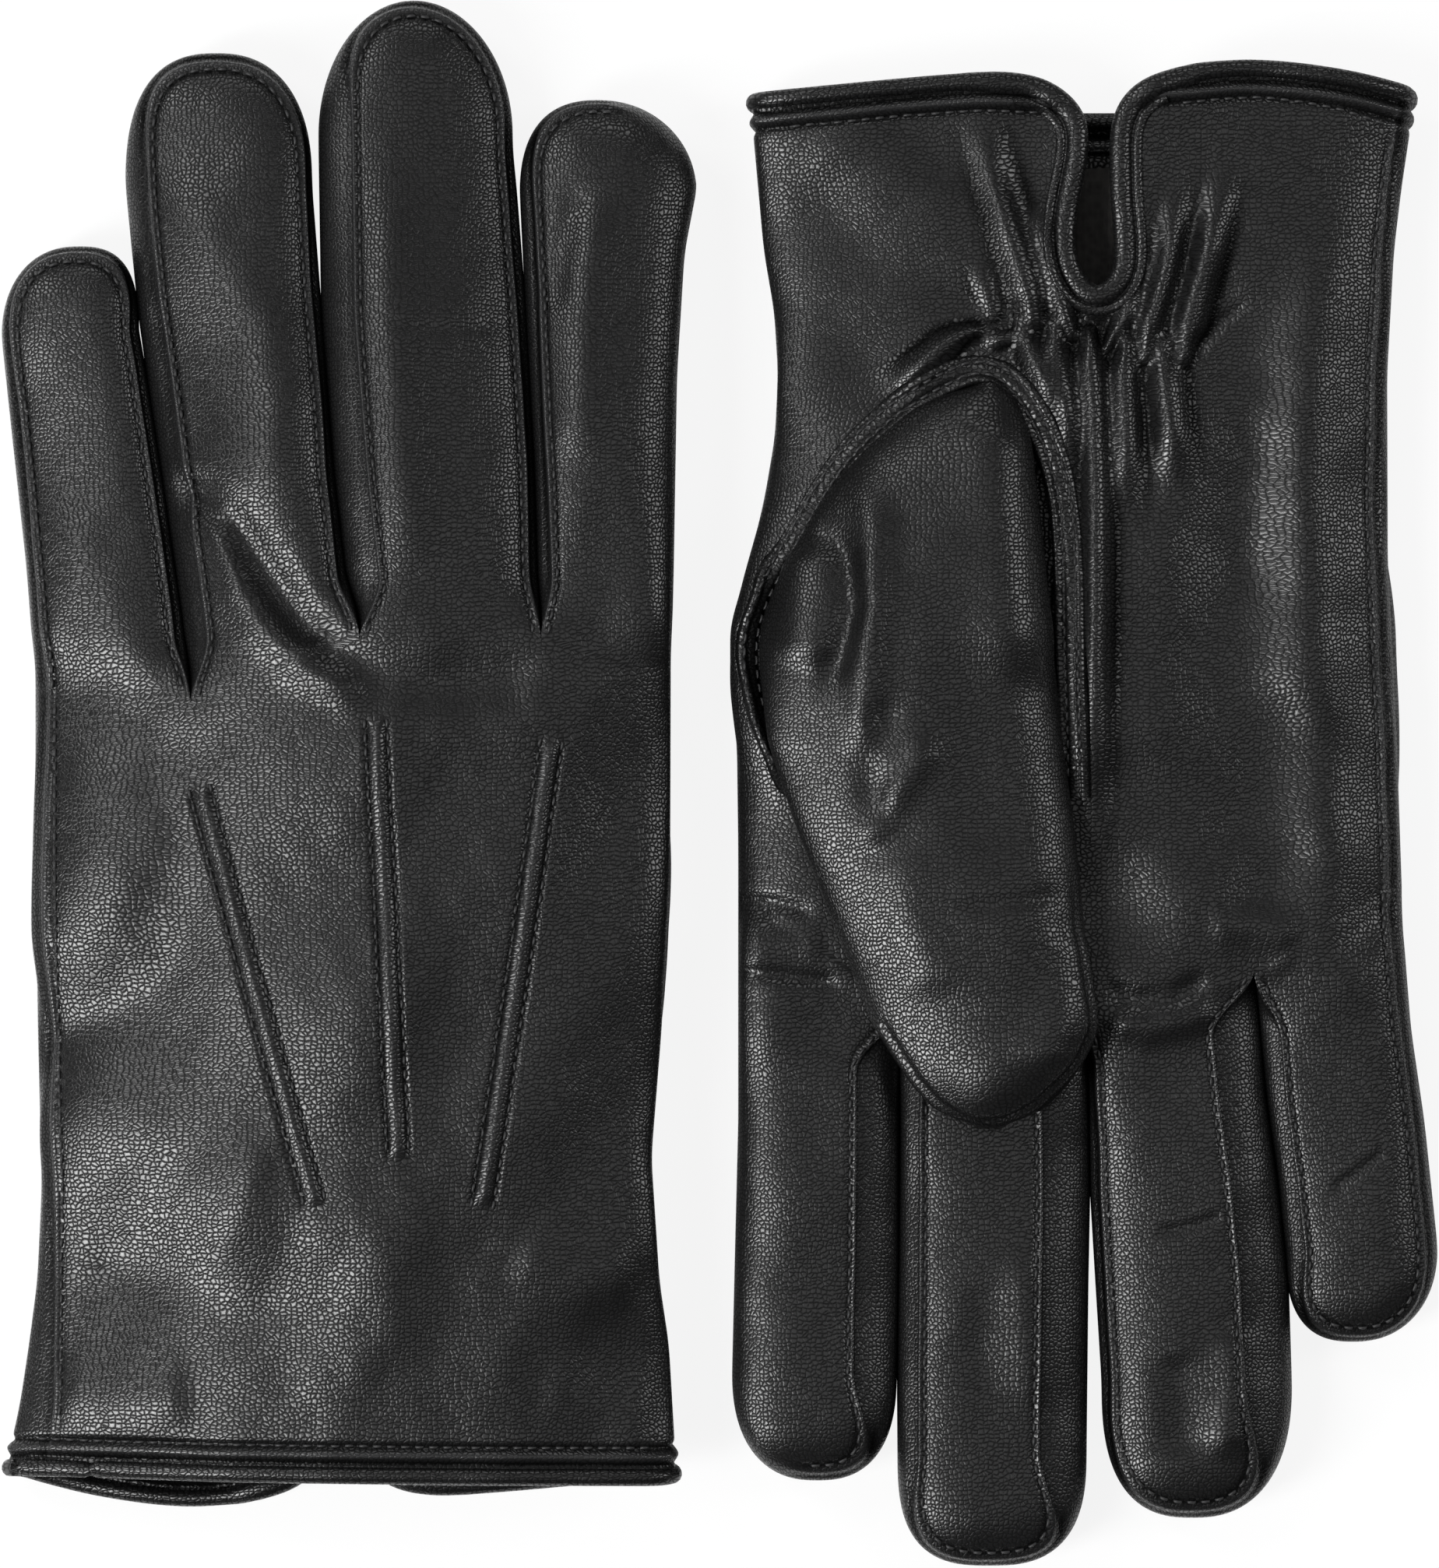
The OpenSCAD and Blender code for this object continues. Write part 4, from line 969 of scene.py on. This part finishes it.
def dressLeather(name, shade=1.0):
    look = leatherLook
    material, tree, shader, at = startMaterial(name)

    def spanned(source, ends):  # 0 to 1 made to run between two values
        made = node(tree, "ShaderNodeMapRange", {"Value": source}, To_Min=ends[0], To_Max=ends[1])
        return made.outputs["Result"]

    # domed pebbles of uneven form, with a fine grain on them
    warp = noise(tree, at, look["warp"], 2.0).outputs["Color"]
    shift = node(tree, "ShaderNodeVectorMath", {0: warp, 1: look["shift"], 2: at}, operation="MULTIPLY_ADD")
    stretch = node(tree, "ShaderNodeMapping", {"Vector": shift.outputs["Vector"]}, Scale=look["stretch"])
    pebble = node(tree, "ShaderNodeTexVoronoi", {"Vector": stretch.outputs["Vector"]},
                  voronoi_dimensions="2D", feature="DISTANCE_TO_EDGE", Scale=1.0 / look["pebble"],
                  Randomness=look["uneven"])
    flank = node(tree, "ShaderNodeMapRange", {"Value": pebble.outputs["Distance"]}, From_Max=look["flank"])
    flank = flank.outputs["Result"]
    dome = sums(tree, "MULTIPLY", flank, sums(tree, "SUBTRACT", 2.0, flank))
    fine = noise(tree, at, look["fine"], 3.0, look["fineRough"]).outputs["Fac"]
    height = sums(tree, "MULTIPLY_ADD", fine, look["fineShare"], dome)
    # painted shade between the pebbles and in the ditches, valleys and finger gaps, lighter where an edge is
    # rubbed
    plain, worn = (tuple(c * shade for c in look[key]) + (1.0,) for key in ("colour", "worn"))
    edge = node(tree, "ShaderNodeAttribute", attribute_name="edgeWear").outputs["Fac"]
    ditch = node(tree, "ShaderNodeAttribute", attribute_name="seamShade").outputs["Fac"]
    tone = mixed(tree, noise(tree, at, look["wear"], 4.0).outputs["Fac"], plain, worn)
    # painted shade: the colour is darkened in the crevices between the pebbles
    tone = mixed(tree, look["pebbleShade"], tone, dome, "MULTIPLY")
    # painted shade: where the seamShade mask is set, the colour goes towards near black and the gloss is
    # lowered
    tone = mixed(tree, ditch, mixed(tree, edge, tone, look["edge"]), look["ditch"])
    gleam = sums(tree, "MULTIPLY", spanned(dome, look["shine"]), spanned(ditch, look["shadedGleam"]))
    setShader(tree, shader, height, look["bump"], look["grainDepth"], Base_Color=tone,
              Roughness=spanned(height, look["rough"]), Specular_IOR_Level=gleam)
    return material


# knitted lining: rib pitch in millimetres, with ribs and loops by that pitch
liningLook = {"colour": (0.020, 0.019, 0.018, 1.0), "light": (0.050, 0.047, 0.044, 1.0), "rib": 1.1,
              "ribs": 0.32, "loops": 0.9, "sway": 1.2, "bump": 0.8, "depth": 0.3, "rough": 0.9, "sheen": 0.3}


def knitLining(name):
    look = liningLook
    material, tree, shader, at = startMaterial(name)
    ribs = node(tree, "ShaderNodeTexWave", {"Vector": at}, bands_direction="X",
                Scale=look["ribs"] / look["rib"], Distortion=look["sway"])
    loops = node(tree, "ShaderNodeTexVoronoi", {"Vector": at}, Scale=look["loops"] / look["rib"])
    loops = loops.outputs["Distance"]
    height = sums(tree, "ADD", ribs.outputs["Fac"], loops)
    tone = mixed(tree, loops, look["colour"], look["light"])
    setShader(tree, shader, height, look["bump"], look["depth"], Base_Color=tone, Roughness=look["rough"],
              Sheen_Weight=look["sheen"])
    return material


threadLook = {"colour": (0.004, 0.004, 0.0045, 1.0), "light": (0.013, 0.013, 0.0135, 1.0), "twist": 2.6}
elasticLook = {"colour": (0.50, 0.48, 0.45, 1.0), "light": (0.72, 0.70, 0.66, 1.0), "twist": 1.2}
yarn = {"bump": 0.5, "depth": 0.06, "rough": 0.55}


def waxedThread(name, look):
    material, tree, shader, at = startMaterial(name)
    twist = noise(tree, at, look["twist"], 2.0).outputs["Fac"]
    tone = mixed(tree, twist, look["colour"], look["light"])
    setShader(tree, shader, twist, yarn["bump"], yarn["depth"], Base_Color=tone, Roughness=yarn["rough"])
    return material


leather = dressLeather("dressLeather")
bindingLeather = dressLeather("bindingLeather", leatherLook["binding"])
lining = knitLining("knitLining")
thread = waxedThread("waxedThread", threadLook)
elastic = waxedThread("wristElastic", elasticLook)
print("leather, lining, thread and elastic made")


def thumbGrid(plan):
    edges = np.array(thumb["edges"], float)
    start, end = edges[0, 0], edges[-1, 0]
    turn = np.linspace(0, math.pi, thumb["rows"])
    crowded = (start + end) / 2 - (end - start) / 2 * np.cos(turn)
    y = mix(crowded, np.linspace(start, end, thumb["rows"]), thumb["evenRows"])
    low, high = (trace(edges[:, [0, k]], y, thumb["reach"]) for k in (1, 2))
    atTip, atRoot = thumb["pinch"]
    pinch = roundEnd((y - end + atTip) / atTip, 2, 1e-4) * roundEnd((start + atRoot - y) / atRoot, 2, 1e-4)
    middle, half = (low + high) / 2, (high - low) / 2 * mix(pinch, 1, thumb["pinchShare"])
    tip = roundEnd((y - end + thumb["tipRound"]) / thumb["tipRound"], thumb["tipPower"], 1e-3)
    # the root reaches into the hand, the free end lies flat on the palm
    free = ease((y - thumb["free"][0]) / thumb["free"][1])
    tall = trace(thumb["high"], y) * tip
    top = thumb["palmAt"] - tall
    heart = mix(thumb["heart"], thumb["palmAt"] - thumb["rim"] * tall, free)
    under = mix(thumb["under"], thumb["palmAt"] - thumb["flat"] * tall, free)
    turn = np.linspace(0, 2 * math.pi, thumb["columns"], endpoint=False)
    p = np.where((turn > 0) & (turn < math.pi / 2), thumb["slope"], thumb["square"])
    out = np.sign(np.cos(turn)) * np.abs(np.cos(turn)) ** (2 / p)
    up = np.sign(np.sin(turn)) * np.abs(np.sin(turn)) ** (2 / p)
    # the thumb lies on its side: its highest line is nearer the little side
    x = middle[:, None] + half[:, None] * (out - thumb["lean"] * np.maximum(up, 0) ** 2)[None, :]
    depth = np.where(up[None, :] > 0, (top - heart)[:, None], (heart - under)[:, None])
    z = heart[:, None] + depth * up[None, :]
    yy = np.repeat(y[:, None], thumb["columns"], 1)
    grid = np.stack([x, yy, z], 2)
    normal = gridNormals(grid)
    lift = foldRelief(x, yy, thumbFolds) + slackRelief(x, yy, plan["seed"] + 2, slack["thumb"])
    outline = thumbOutline()
    d = toPath(x, yy, outline + outline[:1])[0]
    seamStart, seamOver = thumbSeam["from"]
    sew = np.where(yy > thumbSeam["tip"], 1.0, ease((middle[:, None] - x) / thumbSeam["over"]))
    lift += bands(d, thumbSeam["lift"]) * sew * ease((yy - seamStart) / seamOver)
    rootFade, tipFade = thumbSeam["ends"]
    lift *= bothFaces(normal[:, :, 2], "lines")[1]
    lift *= ease((yy - start) / rootFade) * ease((end - yy) / tipFade)
    # the grain runs on over the edges, as on the hand
    below = z - top[:, None]
    over = np.clip((x - middle[:, None]) / (thumb["grainTurn"] * half[:, None]), -1, 1)
    overTip = ease((yy - end + thumb["tipGrain"]) / thumb["tipGrain"])
    grain = grid + np.stack([over * below, overTip * below, 0 * below], 2)
    return grid, grid + normal * lift[:, :, None], grain.reshape(-1, 3)


def bendAlong(piece):
    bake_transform(piece)


def buildGlove(side, plan):
    allPoints, faces, base, extra = gloveLeather(plan)
    # edge wear and painted shade, without the grain's lean
    wear = extra[:, [0, 2]]
    # the grain runs on round the sides instead of being seen edge on
    grain = allPoints.copy()
    grain[:, 0] += extra[:, 1] * (hand["middle"] - np.abs(grain[:, 2] - hand["middle"]))
    thumbBase, thumbShape, thumbGrain = thumbGrid(plan)
    if side == "left":
        allPoints[:, 2] += drape(allPoints[:, 0], allPoints[:, 1])
        base[:, :, 2] += drape(base[:, :, 0], base[:, :, 1])
        for grid in (thumbShape, thumbBase):
            grid[:, :, 2] += overThumb["lift"]
            grid[:, :, 0] = tuckedX(grid[:, :, 0], plan)
    every = np.concatenate(list(faces.values()))
    normals = vertexNormals(allPoints, every)
    handPiece = makePiece(f"{side}HandLeather", allPoints, faces["hand"], side, leather, normals, wear, grain)
    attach(handPiece, f"{side}_hand")
    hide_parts(f"{side}_trank", f"{side}_fourchette_bases")
    strips = {"index": "fourchette", "middle": "fourchettes", "ring": "fourchettes", "little": "fourchette"}
    for name in fingerNames:
        label = f"{side}{name.capitalize()}Leather"
        piece = makePiece(label, allPoints, faces[name], side, leather, normals, wear, grain)
        bendAlong(piece)
        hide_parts(f"{side}_{name}_sleeve", f"{side}_{name}_{strips[name]}")
    print(side, "hand and fingers laid out")

    thumbFaces = closedTube(*thumbShape.shape[:2])
    thumbPoints = thumbShape.reshape(-1, 3)
    thumbNormals = vertexNormals(thumbPoints, thumbFaces)
    piece = makePiece(f"{side}ThumbLeather", thumbPoints, thumbFaces, side, leather, thumbNormals,
                      grain=thumbGrain)
    bendAlong(piece)
    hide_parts(f"{side}_thumb_base", f"{side}_thumb_end")
    print(side, "thumb laid on the palm")

    skin = Skin(allPoints, every)
    buildCuff(side, allPoints[:base.shape[1]], skin)
    weltSkin = buildWelt(side, plan, skin)
    sewHand(side, plan, skin)
    sewFingers(side, plan, skin)
    sewThumb(side, plan, weltSkin)
    lineHand(side, plan, base)
    lineFingers(side, plan)
    lineThumb(side, thumbBase)
    buildElastic(side, skin)


# a rolled strip round the cuff and, fuller, round the vent between the palm's lobes, with a bead beside it
binding = {"wide": 1.4, "ventWide": 1.8, "tall": 1.3, "sink": 0.35, "over": 0.3, "lobes": (-16.8, 17.4),
           "lipAt": 1.2, "outward": 0.15, "bead": 0.5, "beadWide": 0.8, "beadAt": 2.7, "beadEnds": 8,
           "step": 0.6}


def buildCuff(side, first, skin):  # first is the hand's row of points at the cuff edge
    line = rounded(ventLine, binding["step"])
    outside = beside(line)
    # the vent's lips lie at the level of the leather beside them
    lips = smoothAlong(skin.drop(line + outside * binding["lipAt"], "palm")[0], "lips")
    lips[:, :2] = line
    # round the back from the little side lobe to the index side lobe
    palmFrom = 4 * cloth["strip"] + cloth["side"]
    palmTo = palmFrom + 4 * cloth["strip"]
    little, index = binding["lobes"]
    onLittle = [c for c in range(palmFrom, palmTo + 1) if first[c, 0] <= little]
    onIndex = [c for c in range(palmFrom, palmTo + 1) if first[c, 0] >= index]
    ring = onLittle + list(range(palmTo + 1, len(first))) + list(range(palmFrom)) + onIndex
    edge = first[ring[::2]]
    outward = (edge - [0.0, 0.0, np.mean(edge[:, 2])]) * [binding["outward"], 0.0, 1.0]
    up = np.concatenate([np.repeat([[0.0, 0.0, -1.0]], len(line), 0), outward])
    up = smoothAlong(unit(up), "cuffUp", True)
    path = np.concatenate([lips, edge - [0.0, binding["over"], 0.0]])
    path = smoothAlong(path, "cuff", True) - unit(up) * binding["sink"]
    fuller = binding["ventWide"] / binding["wide"]
    full = np.concatenate([np.full(len(line), fuller), np.ones(len(edge))])
    full = smoothAlong(full[:, None], "full", True)
    tube = sweep(path, up, roundProfile(binding["wide"], binding["tall"]), True, full)
    ends = binding["beadEnds"]
    beadAt, beadUp = skin.drop((line + outside * binding["beadAt"])[ends:-ends], "palm")
    beadAt, beadUp = smoothAlong(beadAt, "bead"), smoothAlong(beadUp, "beadUp")
    bead = sweep(beadAt, beadUp, roundProfile(binding["beadWide"], binding["bead"], 10), False)
    places, quads = gather([tube, bead])
    piece = makePiece(f"{side}CuffBinding", places, quads, side, bindingLeather, vertexNormals(places, quads))
    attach(piece, f"{side}_hand")
    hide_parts(f"{side}_cuff_binding")
    print(side, "cuff bound")


# the palm's edge round the thumb: (across, up) of the sewn band, from the palm to the thumb
welt = {"profile": [(-2.9, -0.6), (-2.5, 0.1), (-2.05, 0.42), (-1.65, 0.45), (-1.25, 0.2), (-0.85, 0.45),
                    (-0.2, 0.58), (0.3, 0.5), (0.62, 0.24), (0.95, 0.5), (1.3, 0.85), (1.75, 1.0),
                    (2.15, 0.8), (2.35, 0.2), (2.2, -3.5), (1.0, -3.6)],
        "step": 0.5, "rows": (-1.25, 0.62), "rowEnds": (6, 24), "proud": 0.1, "seat": (1.6, 0.5),
        "indexSide": 25, "indexFrom": (70, 12), "end": (1.8, 14)}


def weltSeat(line, skin):  # the band lies on the palm just outside the thumb hole
    start, over = welt["indexFrom"]
    off = mix(*welt["seat"], ease((line[:, 1] - start) / over) * (line[:, 0] > welt["indexSide"]))
    places, normals = skin.drop(line + beside(line) * off[:, None], "palm")
    places, normals = smoothAlong(places, "welt"), smoothAlong(normals, "weltUp")
    places[:, :2] = line
    # the index side end runs out under the thumb
    deep, reach = welt["end"]
    fromEnd = (len(line) - 1 - np.arange(len(line))) * welt["step"]
    return places - normals * (deep * ease((reach - fromEnd) / reach))[:, None], normals


def buildWelt(side, plan, skin):
    places, normals = weltSeat(rounded(thumbHole(plan), welt["step"]), skin)
    band, quads = sweep(places + normals * welt["proud"], normals, welt["profile"], False)
    piece = makePiece(f"{side}ThumbWelt", band, quads, side, leather, vertexNormals(band, quads))
    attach(piece, f"{side}_hand")
    return Skin(band, quads)


def sewHand(side, plan, skin):
    rows = []
    for path in backPoints["paths"]:
        a, b = np.array(path[0]), np.array(path[-1])
        way = (b - a) / np.linalg.norm(b - a)
        across = np.array([-way[1], way[0]])
        for off in (-backPoints["row"], backPoints["row"]):
            line = rounded(np.array(path) + across * off, backPoints["rowStep"])
            rows.append(stitchRow(skin, line, "back", stitch["pointLift"]))
    low, high = (float(trace(plan[key], hem["edgesAt"])) for key in ("pinkyEdge", "indexEdge"))
    low, high = low + hem["inset"], high - hem["inset"]
    onBack, onPalm = hem["places"]
    hemX = np.linspace(low, high, onBack)
    rows.append(stitchRow(skin, np.stack([hemX, trace(plan["cuffBack"], hemX) + hem["row"]], 1), "back"))
    for a, b in ((low, hem["vent"][0]), (hem["vent"][1], high)):
        hemX = np.linspace(a, b, onPalm)
        rows.append(stitchRow(skin, np.stack([hemX, trace(cuffPalm, hemX) + hem["row"]], 1), "palm"))
    y = np.linspace(*sideSeam["rows"])
    for face, inset in (("back", trace(pinkySeam, y)), ("palm", hand["pinkyInset"])):
        x = trace(plan["pinkyEdge"], y) + inset + seam["row"]
        rows.append(stitchRow(skin, np.stack([x, y], 1), face))
    places, quads = gather(rows)
    piece = makePiece(f"{side}HandStitches", places, quads, side, thread)
    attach(piece, f"{side}_hand")
    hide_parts(f"{side}_point_thread", f"{side}_hem_thread", f"{side}_side_seam_thread")


# a finger's stitches: space from its root, steps along it and round the tip, steps of a folded tip
fingerRow = {"from": 0.4, "step": 0.5, "tipSteps": 80, "foldedSteps": 46}


def fingerLine(shape, face, lowRoot, highRoot):  # where one face is sewn: up one side, round the tip and down
    lowIn, highIn = shape[face]
    tipX, tipY = shape["tip"]
    shoulder, p = shape["shoulder"], shape["round"]
    row, blend = seam["row"], finger["rootBlend"]
    up = np.arange(lowRoot[1] + fingerRow["from"], shoulder, fingerRow["step"])
    down = np.arange(shoulder, highRoot[1] + fingerRow["from"], -fingerRow["step"])
    lowX = mix(lowRoot[0], trace(shape["low"], up) + lowIn, ease((up - lowRoot[1]) / blend)) + row
    highX = mix(highRoot[0], trace(shape["high"], down) - highIn, ease((down - highRoot[1]) / blend)) - row
    low, high = (float(trace(shape[key], shoulder)) for key in ("low", "high"))
    half0, centre = (high - low) / 2, (high + low) / 2
    turn = np.linspace(math.pi, 0, fingerRow["tipSteps"])
    c, s = np.cos(turn), np.sin(turn)
    share = np.abs(s) ** (2 / p)
    for i in range(3):
        rho = 1 - (seamInset(np.where(c < 0, lowIn, highIn), share) + row) / half0
        share = rho * np.abs(s) ** (2 / p)
    x = mix(centre, tipX, share ** 2) + half0 * rho * np.sign(c) * np.abs(c) ** (2 / p)
    arch = np.stack([x, shoulder + (tipY - shoulder) * share], 1)
    legs = [np.stack([lowX, up], 1), arch, np.stack([highX, down], 1)]
    if not shape["sewn"][1]:
        legs = [legs[0], arch[:fingerRow["foldedSteps"]]]
    return smoothAlong(np.concatenate(legs), "fingerRow")


def sewFingers(side, plan, skin):
    first, last = plan["outerSplit"]
    for k, name in enumerate(fingerNames):
        shape = plan["fingers"][name]
        rows = []
        for face, gaps in (("back", plan["crotchBack"]), ("palm", plan["crotchPalm"])):
            lowRoot = (trace(shape["low"], first) + shape[face][0], first)
            highRoot = (trace(shape["high"], last) - shape[face][1], last)
            if k > 0:
                lowRoot = gaps[k - 1]
            if k < 3:
                highRoot = gaps[k]
            rows.append(stitchRow(skin, fingerLine(shape, face, lowRoot, highRoot), face))
        places, quads = gather(rows)
        piece = makePiece(f"{side}{name.capitalize()}Stitches", places, quads, side, thread)
        bendAlong(piece)


def sewThumb(side, plan, weltSkin):
    line = rounded(thumbHole(plan), welt["step"])
    start, end = welt["rowEnds"]
    rows = [stitchRow(weltSkin, (line + beside(line) * -off)[start:-end], "palm") for off in welt["rows"]]
    places, quads = gather(rows)
    piece = makePiece(f"{side}ThumbStitches", places, quads, side, thread)
    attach(piece, f"{side}_hand")
    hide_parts(f"{side}_thumb_seam_thread")
    print(side, "stitched")


# depth of the linings under the outer form, their rows and columns, and the thumb's share of the outer form
linings = {"inset": 3.2, "startRow": 22, "rowStep": 3, "columnStep": 3, "fingerSide": 2.4, "fingerFlat": 3.6,
           "fingerFrom": 8, "fingerRows": 30, "tipRows": 16, "tipGap": 3.0, "tipRound": (12, 9.5),
           "columns": 36, "thumbShare": (0.84, 1.0, 0.5), "thumbEnds": 6, "thumbStep": (3, 4)}


def lineHand(side, plan, base):
    normal = gridNormals(base)
    sunk = aroundThumb(base[:, :, 0], base[:, :, 1], plan)[0]
    deep = linings["inset"] - sunk * bothFaces(normal[:, :, 2], "lines")[1]
    inner = base - normal * deep[:, :, None]
    inner = inner[linings["startRow"]::linings["rowStep"], ::linings["columnStep"]]
    flat = inner.reshape(-1, 3)
    quads = openVent(flat, ringFaces(*inner.shape[:2])[:, ::-1], side == "left")
    piece = makePiece(f"{side}HandLining", flat, quads, side, lining)
    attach(piece, f"{side}_hand")
    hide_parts(f"{side}_lining")


def lineFingers(side, plan):
    columns, flank = linings["columns"], linings["fingerSide"]
    turn = np.linspace(0, 2 * math.pi, columns, endpoint=False)
    tipFrom, tipOver = linings["tipRound"]
    for name in fingerNames:
        shape = plan["fingers"][name]
        tipX, tipY = shape["tip"]
        shoulder, p = shape["shoulder"], shape["round"]
        reach = tipY - linings["tipGap"] - shoulder
        straight = np.linspace(shape["high"][0][0] + linings["fingerFrom"], shoulder, linings["fingerRows"])
        y = np.concatenate([straight, shoulder + reach * np.sin(np.linspace(0.05, 1.5, linings["tipRows"]))])
        at = np.minimum(y, shoulder + finger["edgeEnd"])
        low, high = trace(shape["low"], at) + flank, trace(shape["high"], at) - flank
        share = np.clip((y - shoulder) / reach, 0, 0.999)
        half = (high - low) / 2 * (1 - share ** p) ** (1 / p)
        middle = mix((low + high) / 2, tipX, share ** 2)
        tip = roundEnd(np.minimum((y - tipY + tipFrom) / tipOver, 0.99), finger["tipPower"], 0.02)
        tall = (finger["thick"] / 2 - linings["fingerFlat"]) * tip
        x = middle[:, None] - half[:, None] * np.cos(turn)[None, :]
        z = hand["middle"] + tall[:, None] * np.sin(turn)[None, :]
        grid = np.stack([x, np.repeat(y[:, None], columns, 1), z], 2)
        if side == "left":
            grid[:, :, 2] += drape(grid[:, :, 0], grid[:, :, 1])
        lid = lidFaces((len(y) - 1) * columns + np.arange(columns))
        quads = np.concatenate([ringFaces(len(y), columns), lid])
        piece = makePiece(f"{side}{name.capitalize()}Lining", grid.reshape(-1, 3), quads, side, lining)
        bendAlong(piece)
        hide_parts(f"{side}_{name}_lining")


def lineThumb(side, thumbBase):
    heart = thumbBase.mean(axis=1, keepdims=True)
    inner = heart + (thumbBase - heart) * np.array(linings["thumbShare"])
    ends, (rowStep, columnStep) = linings["thumbEnds"], linings["thumbStep"]
    inner = inner[ends:-ends:rowStep, ::columnStep]
    quads = closedTube(*inner.shape[:2])
    piece = makePiece(f"{side}ThumbLining", inner.reshape(-1, 3), quads, side, lining)
    bendAlong(piece)
    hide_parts(f"{side}_thumb_base_lining", f"{side}_thumb_end_lining")
    print(side, "lined")


elasticBand = {"y": 38.0, "from": -18.0, "to": 18.0, "wide": 5.0, "thick": 0.3, "inside": 4.4, "ripple": 0.12,
               "pitch": 2.4, "fuller": 1.2, "places": 90}


def buildElastic(side, skin):
    band = elasticBand
    x = np.linspace(band["from"], band["to"], band["places"])
    line = np.stack([x, np.full_like(x, band["y"])], 1)
    places, normals = skin.drop(line, "palm")
    places, normals = smoothAlong(places, "elastic"), smoothAlong(normals, "elastic")
    places = places - normals * band["inside"]
    ripple = np.sin(x * 2 * math.pi / band["pitch"])[:, None] * normals * band["ripple"]
    half, thick = band["wide"] / 2, band["thick"] / 2
    full = thick * band["fuller"]
    profile = [(-half, -thick), (-half, thick), (0, full), (half, thick), (half, -thick), (0, -full)]
    strip, quads = sweep(places + ripple, normals, profile, False)
    piece = makePiece(f"{side}WristElastic", strip, quads, side, elastic)
    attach(piece, f"{side}_hand")
    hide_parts(f"{side}_wrist_elastic")


buildGlove("left", leftPlan)
buildGlove("right", rightPlan)

# plain white table under the pair, shown white to the camera
tabletop = {"half": 1.6, "colour": (0.86, 0.86, 0.86, 1.0), "white": 0.88}


def whiteTable():
    h = tabletop["half"]
    mesh = bpy.data.meshes.new("whiteTable")
    mesh.from_pydata([(-h, -h, 0), (h, -h, 0), (h, h, 0), (-h, h, 0)], [], [(0, 1, 2, 3)])
    material = bpy.data.materials.new("whiteTable")
    material.use_nodes = True
    tree = material.node_tree
    tree.nodes.clear()
    paint = node(tree, "ShaderNodeBsdfDiffuse", Color=tabletop["colour"]).outputs["BSDF"]
    glow = node(tree, "ShaderNodeEmission").outputs["Emission"]
    rays = node(tree, "ShaderNodeLightPath").outputs
    both = sums(tree, "MAXIMUM", rays["Is Camera Ray"], rays["Is Transmission Ray"])
    share = sums(tree, "MULTIPLY", both, tabletop["white"])
    blendIn = node(tree, "ShaderNodeMixShader", {"Fac": share, 1: paint, 2: glow})
    node(tree, "ShaderNodeOutputMaterial", {"Surface": blendIn.outputs["Shader"]})
    mesh.materials.append(material)
    floor = bpy.data.objects.new("whiteTable", mesh)
    bpy.context.scene.collection.objects.link(floor)


whiteTable()

# soft lamps: where, how large, watts; and the strength of the white room
lamps = {
    "leftBox": {"at": (-1.10, -0.52, 1.15), "size": (0.42, 1.3), "watts": 34.5},
    "upperBox": {"at": (-1.00, 0.78, 1.15), "size": (0.42, 0.9), "watts": 10.0},
    "rightBox": {"at": (1.15, 0.30, 0.95), "size": (0.40, 1.0), "watts": 8.0},
    "farBox": {"at": (0.0, 1.30, 0.90), "size": (1.1, 0.4), "watts": 4.0},
    "topBox": {"at": (0.0, 0.0, 3.30), "size": (2.4, 2.4), "watts": 11.5},
}
roomLight = 0.03


def softLamps():
    for name, lamp in lamps.items():
        data = bpy.data.lights.new(name, "AREA")
        data.shape = "RECTANGLE"
        data.size, data.size_y = lamp["size"]
        data.energy = lamp["watts"]
        holder = bpy.data.objects.new(name, data)
        holder.location = lamp["at"]
        holder.rotation_euler = (-Vector(lamp["at"])).to_track_quat("-Z", "Y").to_euler()
        bpy.context.scene.collection.objects.link(holder)
    world = bpy.data.worlds.new("paleRoom")
    world.use_nodes = True
    world.node_tree.nodes["Background"].inputs["Color"].default_value = (1, 1, 1, 1)
    world.node_tree.nodes["Background"].inputs["Strength"].default_value = roomLight
    bpy.context.scene.world = world


softLamps()

# straight down, long lens: the photograph's frame is 231 x 251.75 mm
view = {"high": 3.0, "frame": 0.25175, "level": 0.012, "sensor": 24.0, "far": 20.0}


def overheadCamera():
    data = bpy.data.cameras.new("overhead")
    data.sensor_fit = "VERTICAL"
    data.sensor_height = view["sensor"]
    data.lens = view["sensor"] * (view["high"] - view["level"]) / view["frame"]
    data.clip_end = view["far"]
    holder = bpy.data.objects.new("overhead", data)
    holder.location = (0.0, 0.0, view["high"])
    bpy.context.scene.collection.objects.link(holder)
    bpy.context.scene.camera = holder


overheadCamera()
bpy.context.scene.view_settings.view_transform = "Standard"
print("table, lamps and camera set")
